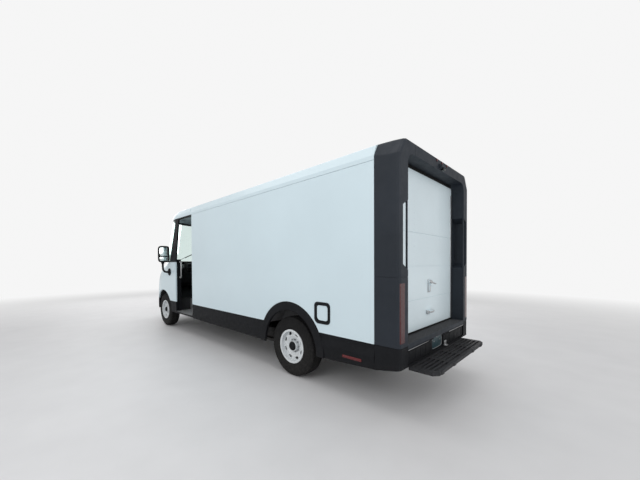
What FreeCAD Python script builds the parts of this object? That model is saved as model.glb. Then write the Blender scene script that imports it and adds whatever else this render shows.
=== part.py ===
"""Electric walk-in cargo van, long body, with pocket cab doors and a portal-shaped rear frame.

Millimetres. +Z is up, the nose points along -Y and the driver's side is +X. The origin is on the
ground under the middle of the vehicle's length, step included. Every function below makes the
pieces of one node; what exists on both sides is built on the +X side and mirrored.
"""

import FreeCAD
import Part
import math
import os

V = FreeCAD.Vector

# ---------------------------------------------------------------- driving dimensions
LENGTH = 7640.0  # nose to the outer edge of the rear step
BODY_WIDTH = 2100.0
HEIGHT = 2780.0
WHEELBASE = 4670.0
REAR_OVERHANG = 1575.0  # rear axle to the rear face, without the step
STEP_REACH = 265.0
TYRE_R = 404.0
TYRE_WIDTH = 235.0
TRACK = 1786.0

# ---------------------------------------------------------------- stations along the vehicle
NOSE_Y = -LENGTH / 2
STEP_Y = LENGTH / 2
REAR_Y = STEP_Y - STEP_REACH  # rear face of the portal frame and bumper
REAR_AXLE_Y = REAR_Y - REAR_OVERHANG
FRONT_AXLE_Y = REAR_AXLE_Y - WHEELBASE
FRAME_Y = REAR_Y - 273.0  # where the side walls end and the rear frame begins
ROLL_DOOR_Y = REAR_Y - 160.0  # outer face of the rear door
DOORWAY_REAR_Y = REAR_AXLE_Y - 2994.0  # rear edge of the cab doorway
DOORWAY_FRONT_Y = DOORWAY_REAR_Y - 870.0
FENDER_REAR_Y = DOORWAY_FRONT_Y - 8.0
CAB_ROOF_Y = DOORWAY_REAR_Y - 86.0

# ---------------------------------------------------------------- levels and widths
HALF = BODY_WIDTH / 2
FLOOR_Z = 720.0
SILL_Z = 697.0  # lower edge of the painted side wall
SKIRT_Z = 395.0  # lower edge of the black skirt
TREAD_Z = 450.0
BELT_Z = 1600.0  # base of the windscreen
SEAM_Z = 2590.0  # joint between side wall and roof
CREASE_Z = 2640.0
GAP = 4.0  # visible joint between two fixed panels
SLOT = 8.0  # clearance round a moving panel
WALL_IN = HALF - 120.0
POCKET_IN = HALF - 87.0
POCKET_OUT = HALF - 28.0
DOOR_IN = POCKET_IN + 10.0
DOOR_OUT = POCKET_OUT - 8.0
DOOR_LAP = 28.0  # how far the cab door laps its frame
DOOR_LENGTH = DOORWAY_REAR_Y - DOORWAY_FRONT_Y + DOOR_LAP
DOOR_TRAVEL = DOOR_LENGTH + 6.0
DOOR_LOW, DOOR_HIGH = 470.0, 2566.0
ROOF_SKIN = 38.0
ARCH_R = 505.0  # inner edge of the wheel arches
ARCH_TRIM_R = 620.0  # outer edge of the black rear arch trim

# ---------------------------------------------------------------- running gear
WHEEL_X = TRACK / 2
RIM_R = 216.0  # bead seat of a 17 inch rim
KINGPIN_X = WHEEL_X - 75.0
KINGPIN_R = 20.0
SPINDLE_R = 30.0
RUN_FIT = 0.05  # radial clearance of a turning fit
RAIL_X, RAIL_W = 390.0, 80.0
RAIL_Z0, RAIL_Z1 = 500.0, 655.0

# ---------------------------------------------------------------- rear portal
OPEN_X, OPEN_Z0, OPEN_Z1 = 875.0, 718.0, 2640.0
NOTCH_X = 985.0  # depth of the handle recess in each post
NOTCH_Z0, NOTCH_Z1 = 1485.0, 2145.0
POST_SEAM_Z = 1395.0
HEADER_SEAM_X = 712.0
PLATE_X = 40.0  # the plate sits a little to the driver's side
LAMP_X0, LAMP_X1, LAMP_Z0, LAMP_Z1 = 945.0, 1037.0, 745.0, 1336.0

# ---------------------------------------------------------------- charge port
PORT_Y0, PORT_Y1, PORT_Z0, PORT_Z1 = 2456.0, 2702.0, 806.0, 1068.0
PORT_RIM = 34.0

# ---------------------------------------------------------------- controls
STEERING_CENTRE = V(400, -1960, 1385)
COLUMN_TILT = 35.0  # degrees above the horizontal
SWEEP = math.radians(COLUMN_TILT)
COLUMN_AXIS = V(0, math.cos(SWEEP), math.sin(SWEEP))


# ================================================================ helpers
def box(x0, x1, y0, y1, z0, z1):
    return Part.makeBox(x1 - x0, y1 - y0, z1 - z0, V(x0, y0, z0))


def rod(radius, start, end):
    axis = end - start
    return Part.makeCylinder(radius, axis.Length, start, axis)


def disc_x(radius, x0, x1, y, z):
    return Part.makeCylinder(radius, x1 - x0, V(x0, y, z), V(1, 0, 0))


def place(plane, a, b, at):
    """A 2-D point (a, b) in the named plane, at that distance along the third axis."""
    return {"xy": V(a, b, at), "xz": V(a, at, b), "yz": V(at, a, b)}[plane]


def rounded_wire(points, plane, at, radii=0.0):
    """A closed wire through the points, each corner rounded by its radius."""
    count = len(points)
    if not isinstance(radii, (list, tuple)):
        radii = [radii] * count
    corners = []
    for i in range(count):
        here = place(plane, *points[i], at)
        before = place(plane, *points[i - 1], at) - here
        after = place(plane, *points[(i + 1) % count], at) - here
        before.normalize()
        after.normalize()
        if radii[i] <= 0:
            corners.append((here, None, here))
            continue
        half = before.getAngle(after) / 2
        reach = radii[i] / math.tan(half)
        middle = before + after
        middle.normalize()
        centre = here + middle * (radii[i] / math.sin(half))
        corners.append((here + before * reach, centre - middle * radii[i], here + after * reach))
    edges = []
    for i, (start, mid, end) in enumerate(corners):
        if mid is not None:
            edges.append(Part.Arc(start, mid, end).toShape())
        following = corners[(i + 1) % count][0]
        if (following - end).Length > 1e-6:
            edges.append(Part.LineSegment(end, following).toShape())
    return Part.Wire(edges)


def prism(points, plane, start, end, radii=0.0):
    """The outline extruded from start to end along the axis its plane lacks."""
    face = Part.Face(rounded_wire(points, plane, start, radii))
    return face.extrude(place(plane, 0, 0, end - start))


def rect(a0, a1, b0, b1):
    return [(a0, b0), (a1, b0), (a1, b1), (a0, b1)]


def mirrored(shape):
    return shape.mirror(V(0, 0, 0), V(1, 0, 0))


def pair(shape):
    return Part.Compound([shape, mirrored(shape)])


def symmetric(points):
    """Completes a half outline, given from the +X end to the middle, with its mirror image."""
    return points + [(-a, b) for a, b in reversed(points)]


def fused(first, *others):
    return first.multiFuse(list(others)).removeSplitter()


def filleted(shape, radius, chosen):
    """Rounds the edges that chosen(edge) picks; the sharp shape is kept if that can't be done."""
    edges = [e for e in shape.Edges if chosen(e)]
    try:
        rounded = shape.makeFillet(radius, edges)
        return rounded if rounded.isValid() and rounded.Solids else shape
    except Exception:
        return shape


# ================================================================ cab surfaces
# Plan sections of the nose and the greenhouse: level, half width, where the side starts to turn
# in, and the front point of the curve on the centreline.
NOSE_SECTIONS = (
    (395.0, 1020.0, -2960.0, NOSE_Y + 60),
    (650.0, 1044.0, -2860.0, NOSE_Y + 10),
    (950.0, HALF, -2800.0, NOSE_Y),
    (1200.0, HALF, -2700.0, NOSE_Y + 40),
    (1400.0, HALF, -2500.0, NOSE_Y + 210),
    (BELT_Z, HALF, -2200.0, NOSE_Y + 590),
)
NOSE_INNER = (
    (390.0, 990.0, -2950.0, NOSE_Y + 95),
    (650.0, 1014.0, -2850.0, NOSE_Y + 45),
    (945.0, HALF - 30, -2790.0, NOSE_Y + 35),
    (1185.0, HALF - 30, -2690.0, NOSE_Y + 85),
    (1375.0, HALF - 32, -2480.0, NOSE_Y + 280),
    (BELT_Z + 1, HALF - 32, -2190.0, NOSE_Y + 680),
)
NOSE_REAR_Y = FENDER_REAR_Y
SCREEN_LOW = (BELT_Z, HALF, -2200.0, NOSE_Y + 590)
SCREEN_HIGH = (2600.0, HALF - 6, -1870.0, -2560.0)
ROOF_SECTIONS = (
    (2592.0, HALF, -1870.0, -2600.0),
    (CREASE_Z, HALF, -1860.0, -2580.0),
    (2712.0, HALF - 24, -1800.0, -2480.0),
    (2758.0, HALF - 60, -1700.0, -2330.0),
    (HEIGHT, HALF - 120, -1560.0, -2040.0),
)


def plan_wire(level, half, side_y, front_y, rear_y, shrink=0.0):
    """A closed plan outline: straight sides from rear_y to side_y and two mirrored Bezier corners."""
    half = half - shrink
    front_y = front_y + shrink
    reach = side_y - front_y
    corner = Part.BezierCurve()
    corner.setPoles(
        [
            V(half, side_y, level),
            V(half, side_y - 0.62 * reach, level),
            V(0.62 * half, front_y, level),
            V(0, front_y, level),
        ]
    )
    other = Part.BezierCurve()
    other.setPoles([V(-p.x, p.y, p.z) for p in reversed(corner.getPoles())])
    edges = [
        Part.LineSegment(V(half, rear_y, level), V(half, side_y, level)).toShape(),
        corner.toShape(),
        other.toShape(),
        Part.LineSegment(V(-half, side_y, level), V(-half, rear_y, level)).toShape(),
        Part.LineSegment(V(-half, rear_y, level), V(half, rear_y, level)).toShape(),
    ]
    return Part.Wire(edges)


def nose_solid(sections, rear_y):
    return Part.makeLoft([plan_wire(*s, rear_y) for s in sections], True, False)


def nose_shell():
    return nose_solid(NOSE_SECTIONS, NOSE_REAR_Y).cut(nose_solid(NOSE_INNER, NOSE_REAR_Y + 10))


def greenhouse(shrink, rear_y):
    wires = [plan_wire(*SCREEN_LOW, rear_y, shrink), plan_wire(*SCREEN_HIGH, rear_y, shrink)]
    return Part.makeLoft(wires, True, True)


# The side edge of the windscreen, seen from the side, and the glass's lower and upper edges
GLASS_LOW, GLASS_HIGH = BELT_Z + 34, 2548.0
GLASS_EDGE = ((-2262.0, BELT_Z), (-1852.0, 2600.0))


def screen_zone(grow=0.0):
    """Everything ahead of the windscreen's side edges, between its lower and upper edges."""
    low_y, high_y = (GLASS_EDGE[i][0] + grow for i in (0, 1))
    slope = (high_y - low_y) / (GLASS_EDGE[1][1] - GLASS_EDGE[0][1])
    z0, z1 = GLASS_LOW - grow, GLASS_HIGH + grow
    points = [
        (NOSE_Y, z0),
        (low_y + slope * (z0 - BELT_Z), z0),
        (low_y + slope * (z1 - BELT_Z), z1),
        (NOSE_Y, z1),
    ]
    return prism(points, "yz", -HALF - 60, HALF + 60)


def doorway_outline(grow):
    """The cab doorway or door seen from the side, its upper front corner leaning back."""
    front = DOORWAY_FRONT_Y - grow
    return [
        (front, DOOR_LOW - 2),
        (front, BELT_Z + 40),
        (front + 172, DOOR_HIGH),
        (DOORWAY_REAR_Y + 1, DOOR_HIGH),
        (DOORWAY_REAR_Y + 1, DOOR_LOW - 2),
    ]


# Regions that split the nose shell into panels
HOOD_X, HOOD_Z, HOOD_REAR_Y = 690.0, 1215.0, -3262.0
FASCIA_REAR_Y = -3330.0
BUMPER_TOP_Z = 668.0
HEADLAMP = (470.0, 1080.0, 1166.0)  # inner end, lower and upper edges


def hood_zone(grow=0.0):
    x, z, y = HOOD_X + grow, HOOD_Z - grow, HOOD_REAR_Y + grow
    return prism([(-x, NOSE_Y - 50), (x, NOSE_Y - 50), (x, y), (-x, y)], "xy", z, BELT_Z + 60, 0.0)


def headlamp_zone(grow=0.0):
    inner, low, high = HEADLAMP
    return pair(
        prism(rect(inner - grow, HALF + 50, low - grow, high + grow), "xz", NOSE_Y - 50, -3300 + grow)
    )


# ================================================================ cab panels
def hood():
    return nose_shell().common(hood_zone())


def front_fascia():
    zone = box(-HALF - 50, HALF + 50, NOSE_Y - 50, FASCIA_REAR_Y, BUMPER_TOP_Z + GAP, BELT_Z + 60)
    return nose_shell().common(zone).cut(hood_zone(SLOT)).cut(headlamp_zone(2))


def cowl():
    """Panel under the windscreen's foot with the wall below it."""
    zone = box(-HOOD_X, HOOD_X, HOOD_REAR_Y + SLOT, -3020, 1300, BELT_Z - 1)
    wall = box(-HOOD_X + 4, HOOD_X - 4, -3250, -3225, 1100, BELT_Z - 1)
    return fused(nose_shell().common(zone), wall.common(nose_solid(NOSE_SECTIONS, NOSE_REAR_Y)))


def headlights():
    return nose_shell().common(headlamp_zone())


def front_bumper():
    zone = box(-HALF - 50, HALF + 50, NOSE_Y - 50, FRONT_AXLE_Y, 380, BUMPER_TOP_Z)
    shell = nose_shell().common(zone)
    crash_beam = box(-760, 760, NOSE_Y + 85, NOSE_Y + 330, 470, 600)
    crash_beam = crash_beam.common(nose_solid(NOSE_SECTIONS, NOSE_REAR_Y))
    arches = disc_x(ARCH_R + 10, -HALF - 60, HALF + 60, FRONT_AXLE_Y, TYRE_R)
    return fused(shell.cut(arches), crash_beam)


def fenders():
    zone = box(600, HALF + 50, FASCIA_REAR_Y + GAP, FENDER_REAR_Y, BUMPER_TOP_Z + GAP, BELT_Z - 2)
    shell = nose_shell().common(zone)
    panel = shell.cut(box(0, HOOD_X + SLOT, -3400, 0, 1000, 1700))
    panel = panel.cut(headlamp_zone(2))
    panel = panel.cut(box(600, DOOR_OUT + SLOT, DOORWAY_FRONT_Y - 104, 0, 400, BELT_Z + 20))
    arch = disc_x(ARCH_R, 500, HALF + 60, FRONT_AXLE_Y, TYRE_R)
    return pair(max(panel.cut(arch).Solids, key=lambda solid: solid.Volume))


def windshield():
    glass = greenhouse(4, -1700).cut(greenhouse(12, -1690))
    return glass.common(screen_zone())


def windshield_frame():
    """Black surround of the windscreen with the front door posts, down to the sill."""
    skin = greenhouse(0, DOORWAY_REAR_Y - GAP).cut(greenhouse(46, DOORWAY_REAR_Y))
    skin = skin.cut(box(-HALF, HALF, NOSE_Y, 0, 2588, 2700))
    skin = skin.cut(prism(doorway_outline(0), "yz", -HALF - 60, HALF + 60))
    skin = skin.cut(screen_zone(3))
    seat_for_glass = greenhouse(2, -1700).cut(greenhouse(14, -1690)).common(screen_zone(1))
    skin = skin.cut(seat_for_glass)
    post = box(POCKET_IN - 40, HALF - 42, DOORWAY_FRONT_Y - 96, DOORWAY_FRONT_Y, TREAD_Z + 2, BELT_Z + 60)
    channel_y = DOORWAY_FRONT_Y - DOOR_LAP - SLOT
    channel = box(DOOR_IN - SLOT, DOOR_OUT + SLOT, channel_y, -1000, DOOR_LOW - SLOT, 2600)
    lean = prism(doorway_outline(DOOR_LAP + SLOT), "yz", DOOR_IN - SLOT, DOOR_OUT + SLOT)
    post = post.cut(channel)
    whole = fused(skin, post, mirrored(post))
    return whole.cut(lean).cut(mirrored(lean))


def cab_roof():
    outer = Part.makeLoft([plan_wire(*s, CAB_ROOF_Y) for s in ROOF_SECTIONS], True, False)
    inner_sections = [(z - ROOF_SKIN, h - 40, y, f + 55) for z, h, y, f in ROOF_SECTIONS]
    inner = Part.makeLoft([plan_wire(*s, CAB_ROOF_Y + 10) for s in inner_sections], True, False)
    return outer.cut(inner)


def cab_door():
    """Left cab door, shut: a full-height panel with its window cut."""
    outline = doorway_outline(DOOR_LAP - 1)
    panel = prism(outline, "yz", DOOR_IN, DOOR_OUT, [12, 12, 40, 4, 4])
    return panel.cut(door_window(0))


def door_window(shrink):
    front = DOORWAY_FRONT_Y + 62 + shrink
    rear = DOORWAY_REAR_Y - 62 - shrink
    low, high = BELT_Z - 20 + shrink, DOOR_HIGH - 120 - shrink
    points = [(front, low), (front + 4, BELT_Z + 60), (front + 130, high), (rear, high), (rear, low)]
    return prism(points, "yz", DOOR_IN - 1, DOOR_OUT + 1, [60, 30, 90, 60, 60])


def cab_door_glass():
    middle = (DOOR_IN + DOOR_OUT) / 2
    slab = box(middle - 3, middle + 3, -2400, 0, 1500, 2600)
    return door_window(0).common(slab)


def cab_floor():
    """Floor pressing of the cab with its two step wells, wheel housings and firewall."""
    front = FRONT_AXLE_Y - 330
    plate = prism(
        symmetric([(WALL_IN + 30, -948), (WALL_IN + 30, -2150), (480, -2150), (480, front)])[::-1],
        "xy", FLOOR_Z - 32, FLOOR_Z,
    )
    well_x, well_y0, well_y1 = 660, DOORWAY_FRONT_Y - 102, DOORWAY_REAR_Y - 2
    well_cut = box(well_x, HALF, well_y0, well_y1, 300, FLOOR_Z + 1)
    tread = box(well_x - 25, HALF - 4, well_y0 - 16, well_y1, TREAD_Z - 36, TREAD_Z)
    inside = nose_solid([(z, h - 6, y, f + 6) for z, h, y, f in NOSE_INNER], NOSE_REAR_Y)
    wall_toe = box(WALL_IN - 2, HALF, DOORWAY_REAR_Y - 2, 0, 600, 800)
    plate = plate.cut(wall_toe).cut(mirrored(wall_toe))
    riser = box(well_x - 25, well_x, well_y0 - 16, well_y1, TREAD_Z - 36, FLOOR_Z)
    front_wall = box(well_x - 25, HALF - 44, well_y0 - 16, well_y0, TREAD_Z - 36, FLOOR_Z)
    rear_wall = box(well_x - 25, DOOR_IN - SLOT, well_y1 - 16, well_y1, TREAD_Z - 36, FLOOR_Z)
    ring = disc_x(ARCH_R + 40, 480, 1000, FRONT_AXLE_Y, TYRE_R)
    ring = ring.cut(disc_x(ARCH_R + 15, 470, 1010, FRONT_AXLE_Y, TYRE_R))
    cheek = disc_x(ARCH_R + 40, 480, 500, FRONT_AXLE_Y, TYRE_R)
    housing = ring.fuse(cheek).common(box(470, 1010, -3300, FENDER_REAR_Y - 8, RAIL_Z1 + 5, 1000))
    housing = housing.common(inside)
    firewall = box(-HALF + 70, HALF - 70, front - 28, front, FLOOR_Z - 32, 1414).common(inside)
    tyre_room = disc_x(ARCH_R + 15, 500, HALF, FRONT_AXLE_Y, TYRE_R)
    whole = plate.cut(well_cut).cut(mirrored(well_cut))
    sides = [tread, riser, front_wall, rear_wall, housing]
    whole = fused(whole, firewall, *sides, *[mirrored(s) for s in sides])
    return whole.cut(tyre_room).cut(mirrored(tyre_room))


def dashboard():
    profile = [
        (-3000, 960), (-2560, 980), (-2400, 1080), (-2330, 1330), (-2400, 1450), (-2620, 1540),
        (-3120, 1545), (-3120, 1440), (-3000, 1420),
    ]
    body = prism(profile, "yz", -HALF + 90, HALF - 90, [0, 60, 50, 40, 50, 60, 0, 0, 0])
    body = body.common(nose_solid([(z, h - 8, y, f + 8) for z, h, y, f in NOSE_INNER], NOSE_REAR_Y))
    cluster = prism([(-2520, 1480), (-2330, 1360), (-2290, 1440), (-2450, 1600)], "yz", 210, 590, 20)
    column = rod(46, STEERING_CENTRE - COLUMN_AXIS * 620, STEERING_CENTRE - COLUMN_AXIS * 70)
    return fused(body, cluster, column)


def steering_wheel():
    rim = Part.makeTorus(192, 16, STEERING_CENTRE, COLUMN_AXIS)
    hub = rod(62, STEERING_CENTRE - COLUMN_AXIS * 62, STEERING_CENTRE - COLUMN_AXIS * 6)
    spokes = []
    for degrees in (0, 180, 270):
        turn = math.radians(degrees)
        across = V(1, 0, 0)
        up = COLUMN_AXIS.cross(across)
        way = across * math.cos(turn) + up * math.sin(turn)
        start = STEERING_CENTRE - COLUMN_AXIS * 30 + way * 45
        spokes.append(rod(13, start, STEERING_CENTRE + way * 190))
    return fused(rim, hub, *spokes)


def driver_seat():
    x0, x1 = 165, 635
    cushion = prism(rect(-1640, -1150, 1010, 1140), "yz", x0, x1, 45)
    back = prism([(-1210, 1120), (-1080, 1120), (-1000, 1700), (-1120, 1720)], "yz", x0 + 10, x1 - 10, 40)
    head = prism([(-1112, 1680), (-1012, 1680), (-995, 1890), (-1080, 1900)], "yz", x0 + 110, x1 - 110, 35)
    base = box(x0 + 60, x1 - 60, -1590, -1190, FLOOR_Z, 1012)
    return fused(cushion, back, head, base)


def bulkhead():
    """Wall between cab and load space with its walk-through doorway."""
    top = HEIGHT - ROOF_SKIN - 2
    half = [(WALL_IN - 2, FLOOR_Z + 1), (WALL_IN - 2, 2640), (WALL_IN - 40, top)]
    wall = prism(symmetric(half), "xz", -985, -945)
    return wall.cut(prism(rect(-610, 40, FLOOR_Z - 5, 2250), "xz", -990, -940, [0, 0, 60, 60]))


def bulkhead_door():
    panel = prism(rect(62, 752, FLOOR_Z + 12, 2290), "xz", -935, -905, 10)
    grip = prism(rect(90, 120, 1420, 1640), "xz", -948 + 6, -890, 8)
    return fused(panel, grip)


# ================================================================ mirrors
def mirrors():
    """Left door mirror on its cranked arm, and its twin."""
    head = prism(rect(1066, 1322, 1596, 1984), "xz", -2300, -2196, 34)
    bezel = prism(rect(1082, 1306, 1612, 1968), "xz", -2216, -2190, 24)
    foot = box(HALF + 0.4, 1176, -2290, -2236, 1290, 1470)
    arm = box(1160, 1252, -2286, -2232, 1310, 1600)
    return pair(fused(filleted(head, 20, lambda e: e.BoundBox.YMax < -2299), foot, arm).cut(bezel))


def mirror_glass():
    main = prism(rect(1086, 1302, 1762, 1964), "xz", -2212, -2204, 20)
    wide = prism(rect(1086, 1302, 1616, 1748), "xz", -2212, -2204, 20)
    return Part.Compound([main, wide, mirrored(main), mirrored(wide)])


# ================================================================ load body
def side_wall(with_port):
    wall = box(WALL_IN, HALF, DOORWAY_REAR_Y, FRAME_Y - GAP, SILL_Z, SEAM_Z - 2)
    pocket_y = DOORWAY_REAR_Y + DOOR_LENGTH + 20
    pocket = box(POCKET_IN, POCKET_OUT, DOORWAY_REAR_Y - 1, pocket_y, SILL_Z - 1, DOOR_HIGH + 8)
    arch = disc_x(ARCH_TRIM_R, WALL_IN - 5, HALF + 5, REAR_AXLE_Y, TYRE_R)
    wall = wall.cut(pocket).cut(arch)
    if with_port:
        port = prism(port_outline(0), "yz", HALF - 92, HALF + 1, port_radii())
        wall = wall.cut(port)
    return wall


def port_outline(inset):
    return rect(PORT_Y0 + inset, PORT_Y1 - inset, PORT_Z0 + inset, PORT_Z1 - inset)


def port_radii(inset=0.0):
    return [66 - inset * 0.6, 52 - inset * 0.6, 52 - inset * 0.6, 48 - inset * 0.6]


def charge_inlet():
    """Black frame round the charge port, its recess and the socket."""
    ring = prism(port_outline(0.0), "yz", HALF - 30, HALF + 7, port_radii())
    ring = ring.cut(prism(port_outline(PORT_RIM), "yz", HALF - 31, HALF + 8, port_radii(PORT_RIM)))
    tray = prism(port_outline(0.0), "yz", HALF - 92, HALF - 30, port_radii())
    tray = tray.cut(prism(port_outline(PORT_RIM), "yz", HALF - 78, HALF - 29, port_radii(PORT_RIM)))
    y, z = (PORT_Y0 + PORT_Y1) / 2, (PORT_Z0 + PORT_Z1) / 2
    socket = disc_x(40, HALF - 80, HALF - 42, y, z).cut(disc_x(34, HALF - 60, HALF - 40, y, z))
    pins = [
        disc_x(5, HALF - 61, HALF - 46, y + 17 * math.cos(a), z + 17 * math.sin(a))
        for a in (math.radians(18 + 72 * k) for k in range(5))
    ]
    return fused(ring, tray, socket, *pins)


def charge_door():
    inset = PORT_RIM + 7
    return prism(port_outline(inset), "yz", HALF - 14, HALF, port_radii(PORT_RIM))


def roof():
    outer = [(HALF, SEAM_Z + 2), (HALF, CREASE_Z), (HALF - 46, HEIGHT - 28), (HALF - 120, HEIGHT)]
    inner = [
        (HALF - 120, HEIGHT - ROOF_SKIN), (HALF - 82, HEIGHT - 60),
        (HALF - 44, CREASE_Z - 10), (HALF - 44, SEAM_Z + 2),
    ]
    outline = outer + [(-x, z) for x, z in reversed(outer)] + [(-x, z) for x, z in reversed(inner)] + inner
    radii = [0, 14, 40, 60] + [60, 40, 14, 0] + [0, 8, 8, 0] + [0, 8, 8, 0]
    return prism(outline, "xz", CAB_ROOF_Y + GAP, FRAME_Y - GAP, radii)


def cargo_floor():
    """Load floor with the two rear wheel boxes."""
    plate = box(-WALL_IN + 2, WALL_IN - 2, -944, ROLL_DOOR_Y, RAIL_Z1 + 5, FLOOR_Z)
    ring = disc_x(ARCH_TRIM_R - 2, 690, POCKET_OUT - 4, REAR_AXLE_Y, TYRE_R)
    room = disc_x(ARCH_TRIM_R - 34, 712, HALF, REAR_AXLE_Y, TYRE_R)
    wheel_box = ring.common(box(680, HALF, 1000, 3000, RAIL_Z1 + 5, 1100))
    for side in (-1, 1):
        ends = sorted((side * (OPEN_X - 4), side * HALF))
        plate = plate.cut(box(*ends, FRAME_Y - GAP - 2, REAR_Y, 600, FLOOR_Z + 1))
    plate = plate.cut(box(690, HALF, REAR_AXLE_Y - 560, REAR_AXLE_Y + 560, 600, FLOOR_Z + 1))
    plate = plate.cut(mirrored(box(690, HALF, REAR_AXLE_Y - 560, REAR_AXLE_Y + 560, 600, FLOOR_Z + 1)))
    whole = fused(plate, wheel_box, mirrored(wheel_box))
    return whole.cut(room).cut(mirrored(room))


# ================================================================ skirts
def skirt_wire(y, crease_z):
    lip = [
        (POCKET_OUT, SILL_Z - 2), (HALF - 2, SILL_Z - 2), (HALF - 7, crease_z + 92), (HALF + 6, crease_z + 8),
        (HALF + 3, crease_z - 14), (HALF - 16, SKIRT_Z), (POCKET_OUT, SKIRT_Z),
    ]
    return rounded_wire(lip, "xz", y, [0, 0, 12, 3, 3, 4, 0])


def side_skirt():
    """Black sill skirt with the arch trim of the rear wheel; its crease drops towards the cab."""
    stations = [(DOORWAY_REAR_Y + 2, 452), (-660, 458), (-285, 552), (FRAME_Y - GAP, 552)]
    runs = [
        Part.makeLoft([skirt_wire(*a), skirt_wire(*b)], True, True)
        for a, b in zip(stations, stations[1:])
    ]
    band = fused(*runs)
    trim = disc_x(ARCH_TRIM_R - 2, POCKET_OUT, HALF + 8, REAR_AXLE_Y, TYRE_R)
    trim = filleted(trim, 10, lambda e: abs(e.BoundBox.XMin - HALF - 8) < 0.1 and e.BoundBox.XLength < 0.1)
    trim = trim.common(box(900, 1100, 1000, 3000, SKIRT_Z, 1100))
    opening = disc_x(ARCH_R, 900, 1100, REAR_AXLE_Y, TYRE_R)
    under = [(REAR_AXLE_Y + 500, 300), (FRAME_Y, 300), (FRAME_Y, 432), (REAR_AXLE_Y + 700, SKIRT_Z)]
    rising = prism(under, "yz", 900, 1100)
    return fused(band, trim).cut(opening).cut(rising)


def front_sill():
    """Short black sill skin between the front wheel arch and the cab's step well."""
    x0, x1, top, well_front = DOOR_OUT + SLOT, HALF - 4, BUMPER_TOP_Z, DOORWAY_FRONT_Y - 120
    ahead = box(x0, x1, FRONT_AXLE_Y, well_front, TREAD_Z - 36, top)
    over_tread = box(x0, x1, well_front, FENDER_REAR_Y, TREAD_Z + 4, top)
    return ahead.fuse(over_tread).removeSplitter().cut(disc_x(ARCH_R, x0 - 1, x1 + 1, FRONT_AXLE_Y, TYRE_R))


# ================================================================ rear portal
def portal_outer():
    """Outside of the rear frame: it leaves the roof's section and widens its corner bevel."""
    def section(y, low, high, drop, inset):
        half = [(HALF - inset, SILL_Z + 2), (HALF - inset, low), (HALF - high, HEIGHT - 5 - drop)]
        return rounded_wire(symmetric(half), "xz", y, [0, 40, 60, 60, 40, 0])

    wires = [
        section(FRAME_Y, 2630, 84, 0, 0),
        section(FRAME_Y + 150, 2600, 104, 0, 0),
        section(REAR_Y - 34, 2596, 128, 2, 0),
        section(REAR_Y - 12, 2590, 134, 8, 9),
        section(REAR_Y, 2584, 146, 22, 26),
    ]
    return Part.makeLoft(wires, True, True)


def handle_notch():
    points = [
        (OPEN_X - 1, NOTCH_Z0 - 20), (OPEN_X, NOTCH_Z0 - 20), (NOTCH_X, NOTCH_Z0 + 40),
        (NOTCH_X, NOTCH_Z1 - 40), (OPEN_X, NOTCH_Z1 + 20), (OPEN_X - 1, NOTCH_Z1 + 20),
    ]
    return prism(points, "xz", ROLL_DOOR_Y + 6, REAR_Y + 1)


def lamp_zone():
    return prism(rect(LAMP_X0, LAMP_X1, LAMP_Z0, LAMP_Z1), "xz", REAR_Y - 45, REAR_Y + 5, 6)


def portal_seams():
    """Grooves where the frame's mouldings meet: one round each post, two down the header."""
    z0, z1 = POST_SEAM_Z - 2, POST_SEAM_Z + 2
    post = [
        box(HALF - 5, HALF + 5, FRAME_Y - 1, REAR_Y + 1, z0, z1),
        box(OPEN_X - 1, HALF, REAR_Y - 6, REAR_Y + 1, z0, z1),
        box(OPEN_X - 1, OPEN_X + 6, ROLL_DOOR_Y, REAR_Y + 1, z0, z1),
    ]
    x0, x1 = HEADER_SEAM_X - 2, HEADER_SEAM_X + 2
    header = [
        box(x0, x1, REAR_Y - 6, REAR_Y + 1, OPEN_Z1 - 1, HEIGHT),
        box(x0, x1, FRAME_Y - 1, REAR_Y + 1, HEIGHT - 11, HEIGHT + 1),
    ]
    return [cut for one in post + header for cut in (one, mirrored(one))]


def rear_frame():
    opening = prism(rect(-OPEN_X, OPEN_X, SILL_Z, OPEN_Z1), "xz", ROLL_DOOR_Y, REAR_Y + 1, [0, 0, 112, 112])
    door_bay = box(-OPEN_X, OPEN_X, FRAME_Y - 1, ROLL_DOOR_Y, SILL_Z, OPEN_Z1)
    frame = portal_outer().cut(opening).cut(door_bay)
    threshold = box(-OPEN_X, OPEN_X, ROLL_DOOR_Y + 2, REAR_Y, 664, OPEN_Z0)
    for cut in (handle_notch(), mirrored(handle_notch()), lamp_zone(), mirrored(lamp_zone())):
        frame = frame.cut(cut)
    for seam in portal_seams():
        frame = frame.cut(seam)
    shelf = [(REAR_Y, 2655), (REAR_Y + 38, 2668), (REAR_Y + 38, 2684), (REAR_Y, 2708)]
    camera_shelf = prism(shelf, "yz", -62, 62)
    return fused(frame, threshold, camera_shelf)


def grab_handles():
    bar = prism(rect(OPEN_X, OPEN_X + 24, REAR_Y - 17, REAR_Y - 2), "xy", NOTCH_Z0 - 30, NOTCH_Z1 + 30, 5)
    return pair(bar.common(handle_notch()))


def tail_lights():
    return pair(lamp_zone().common(portal_outer()))


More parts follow.
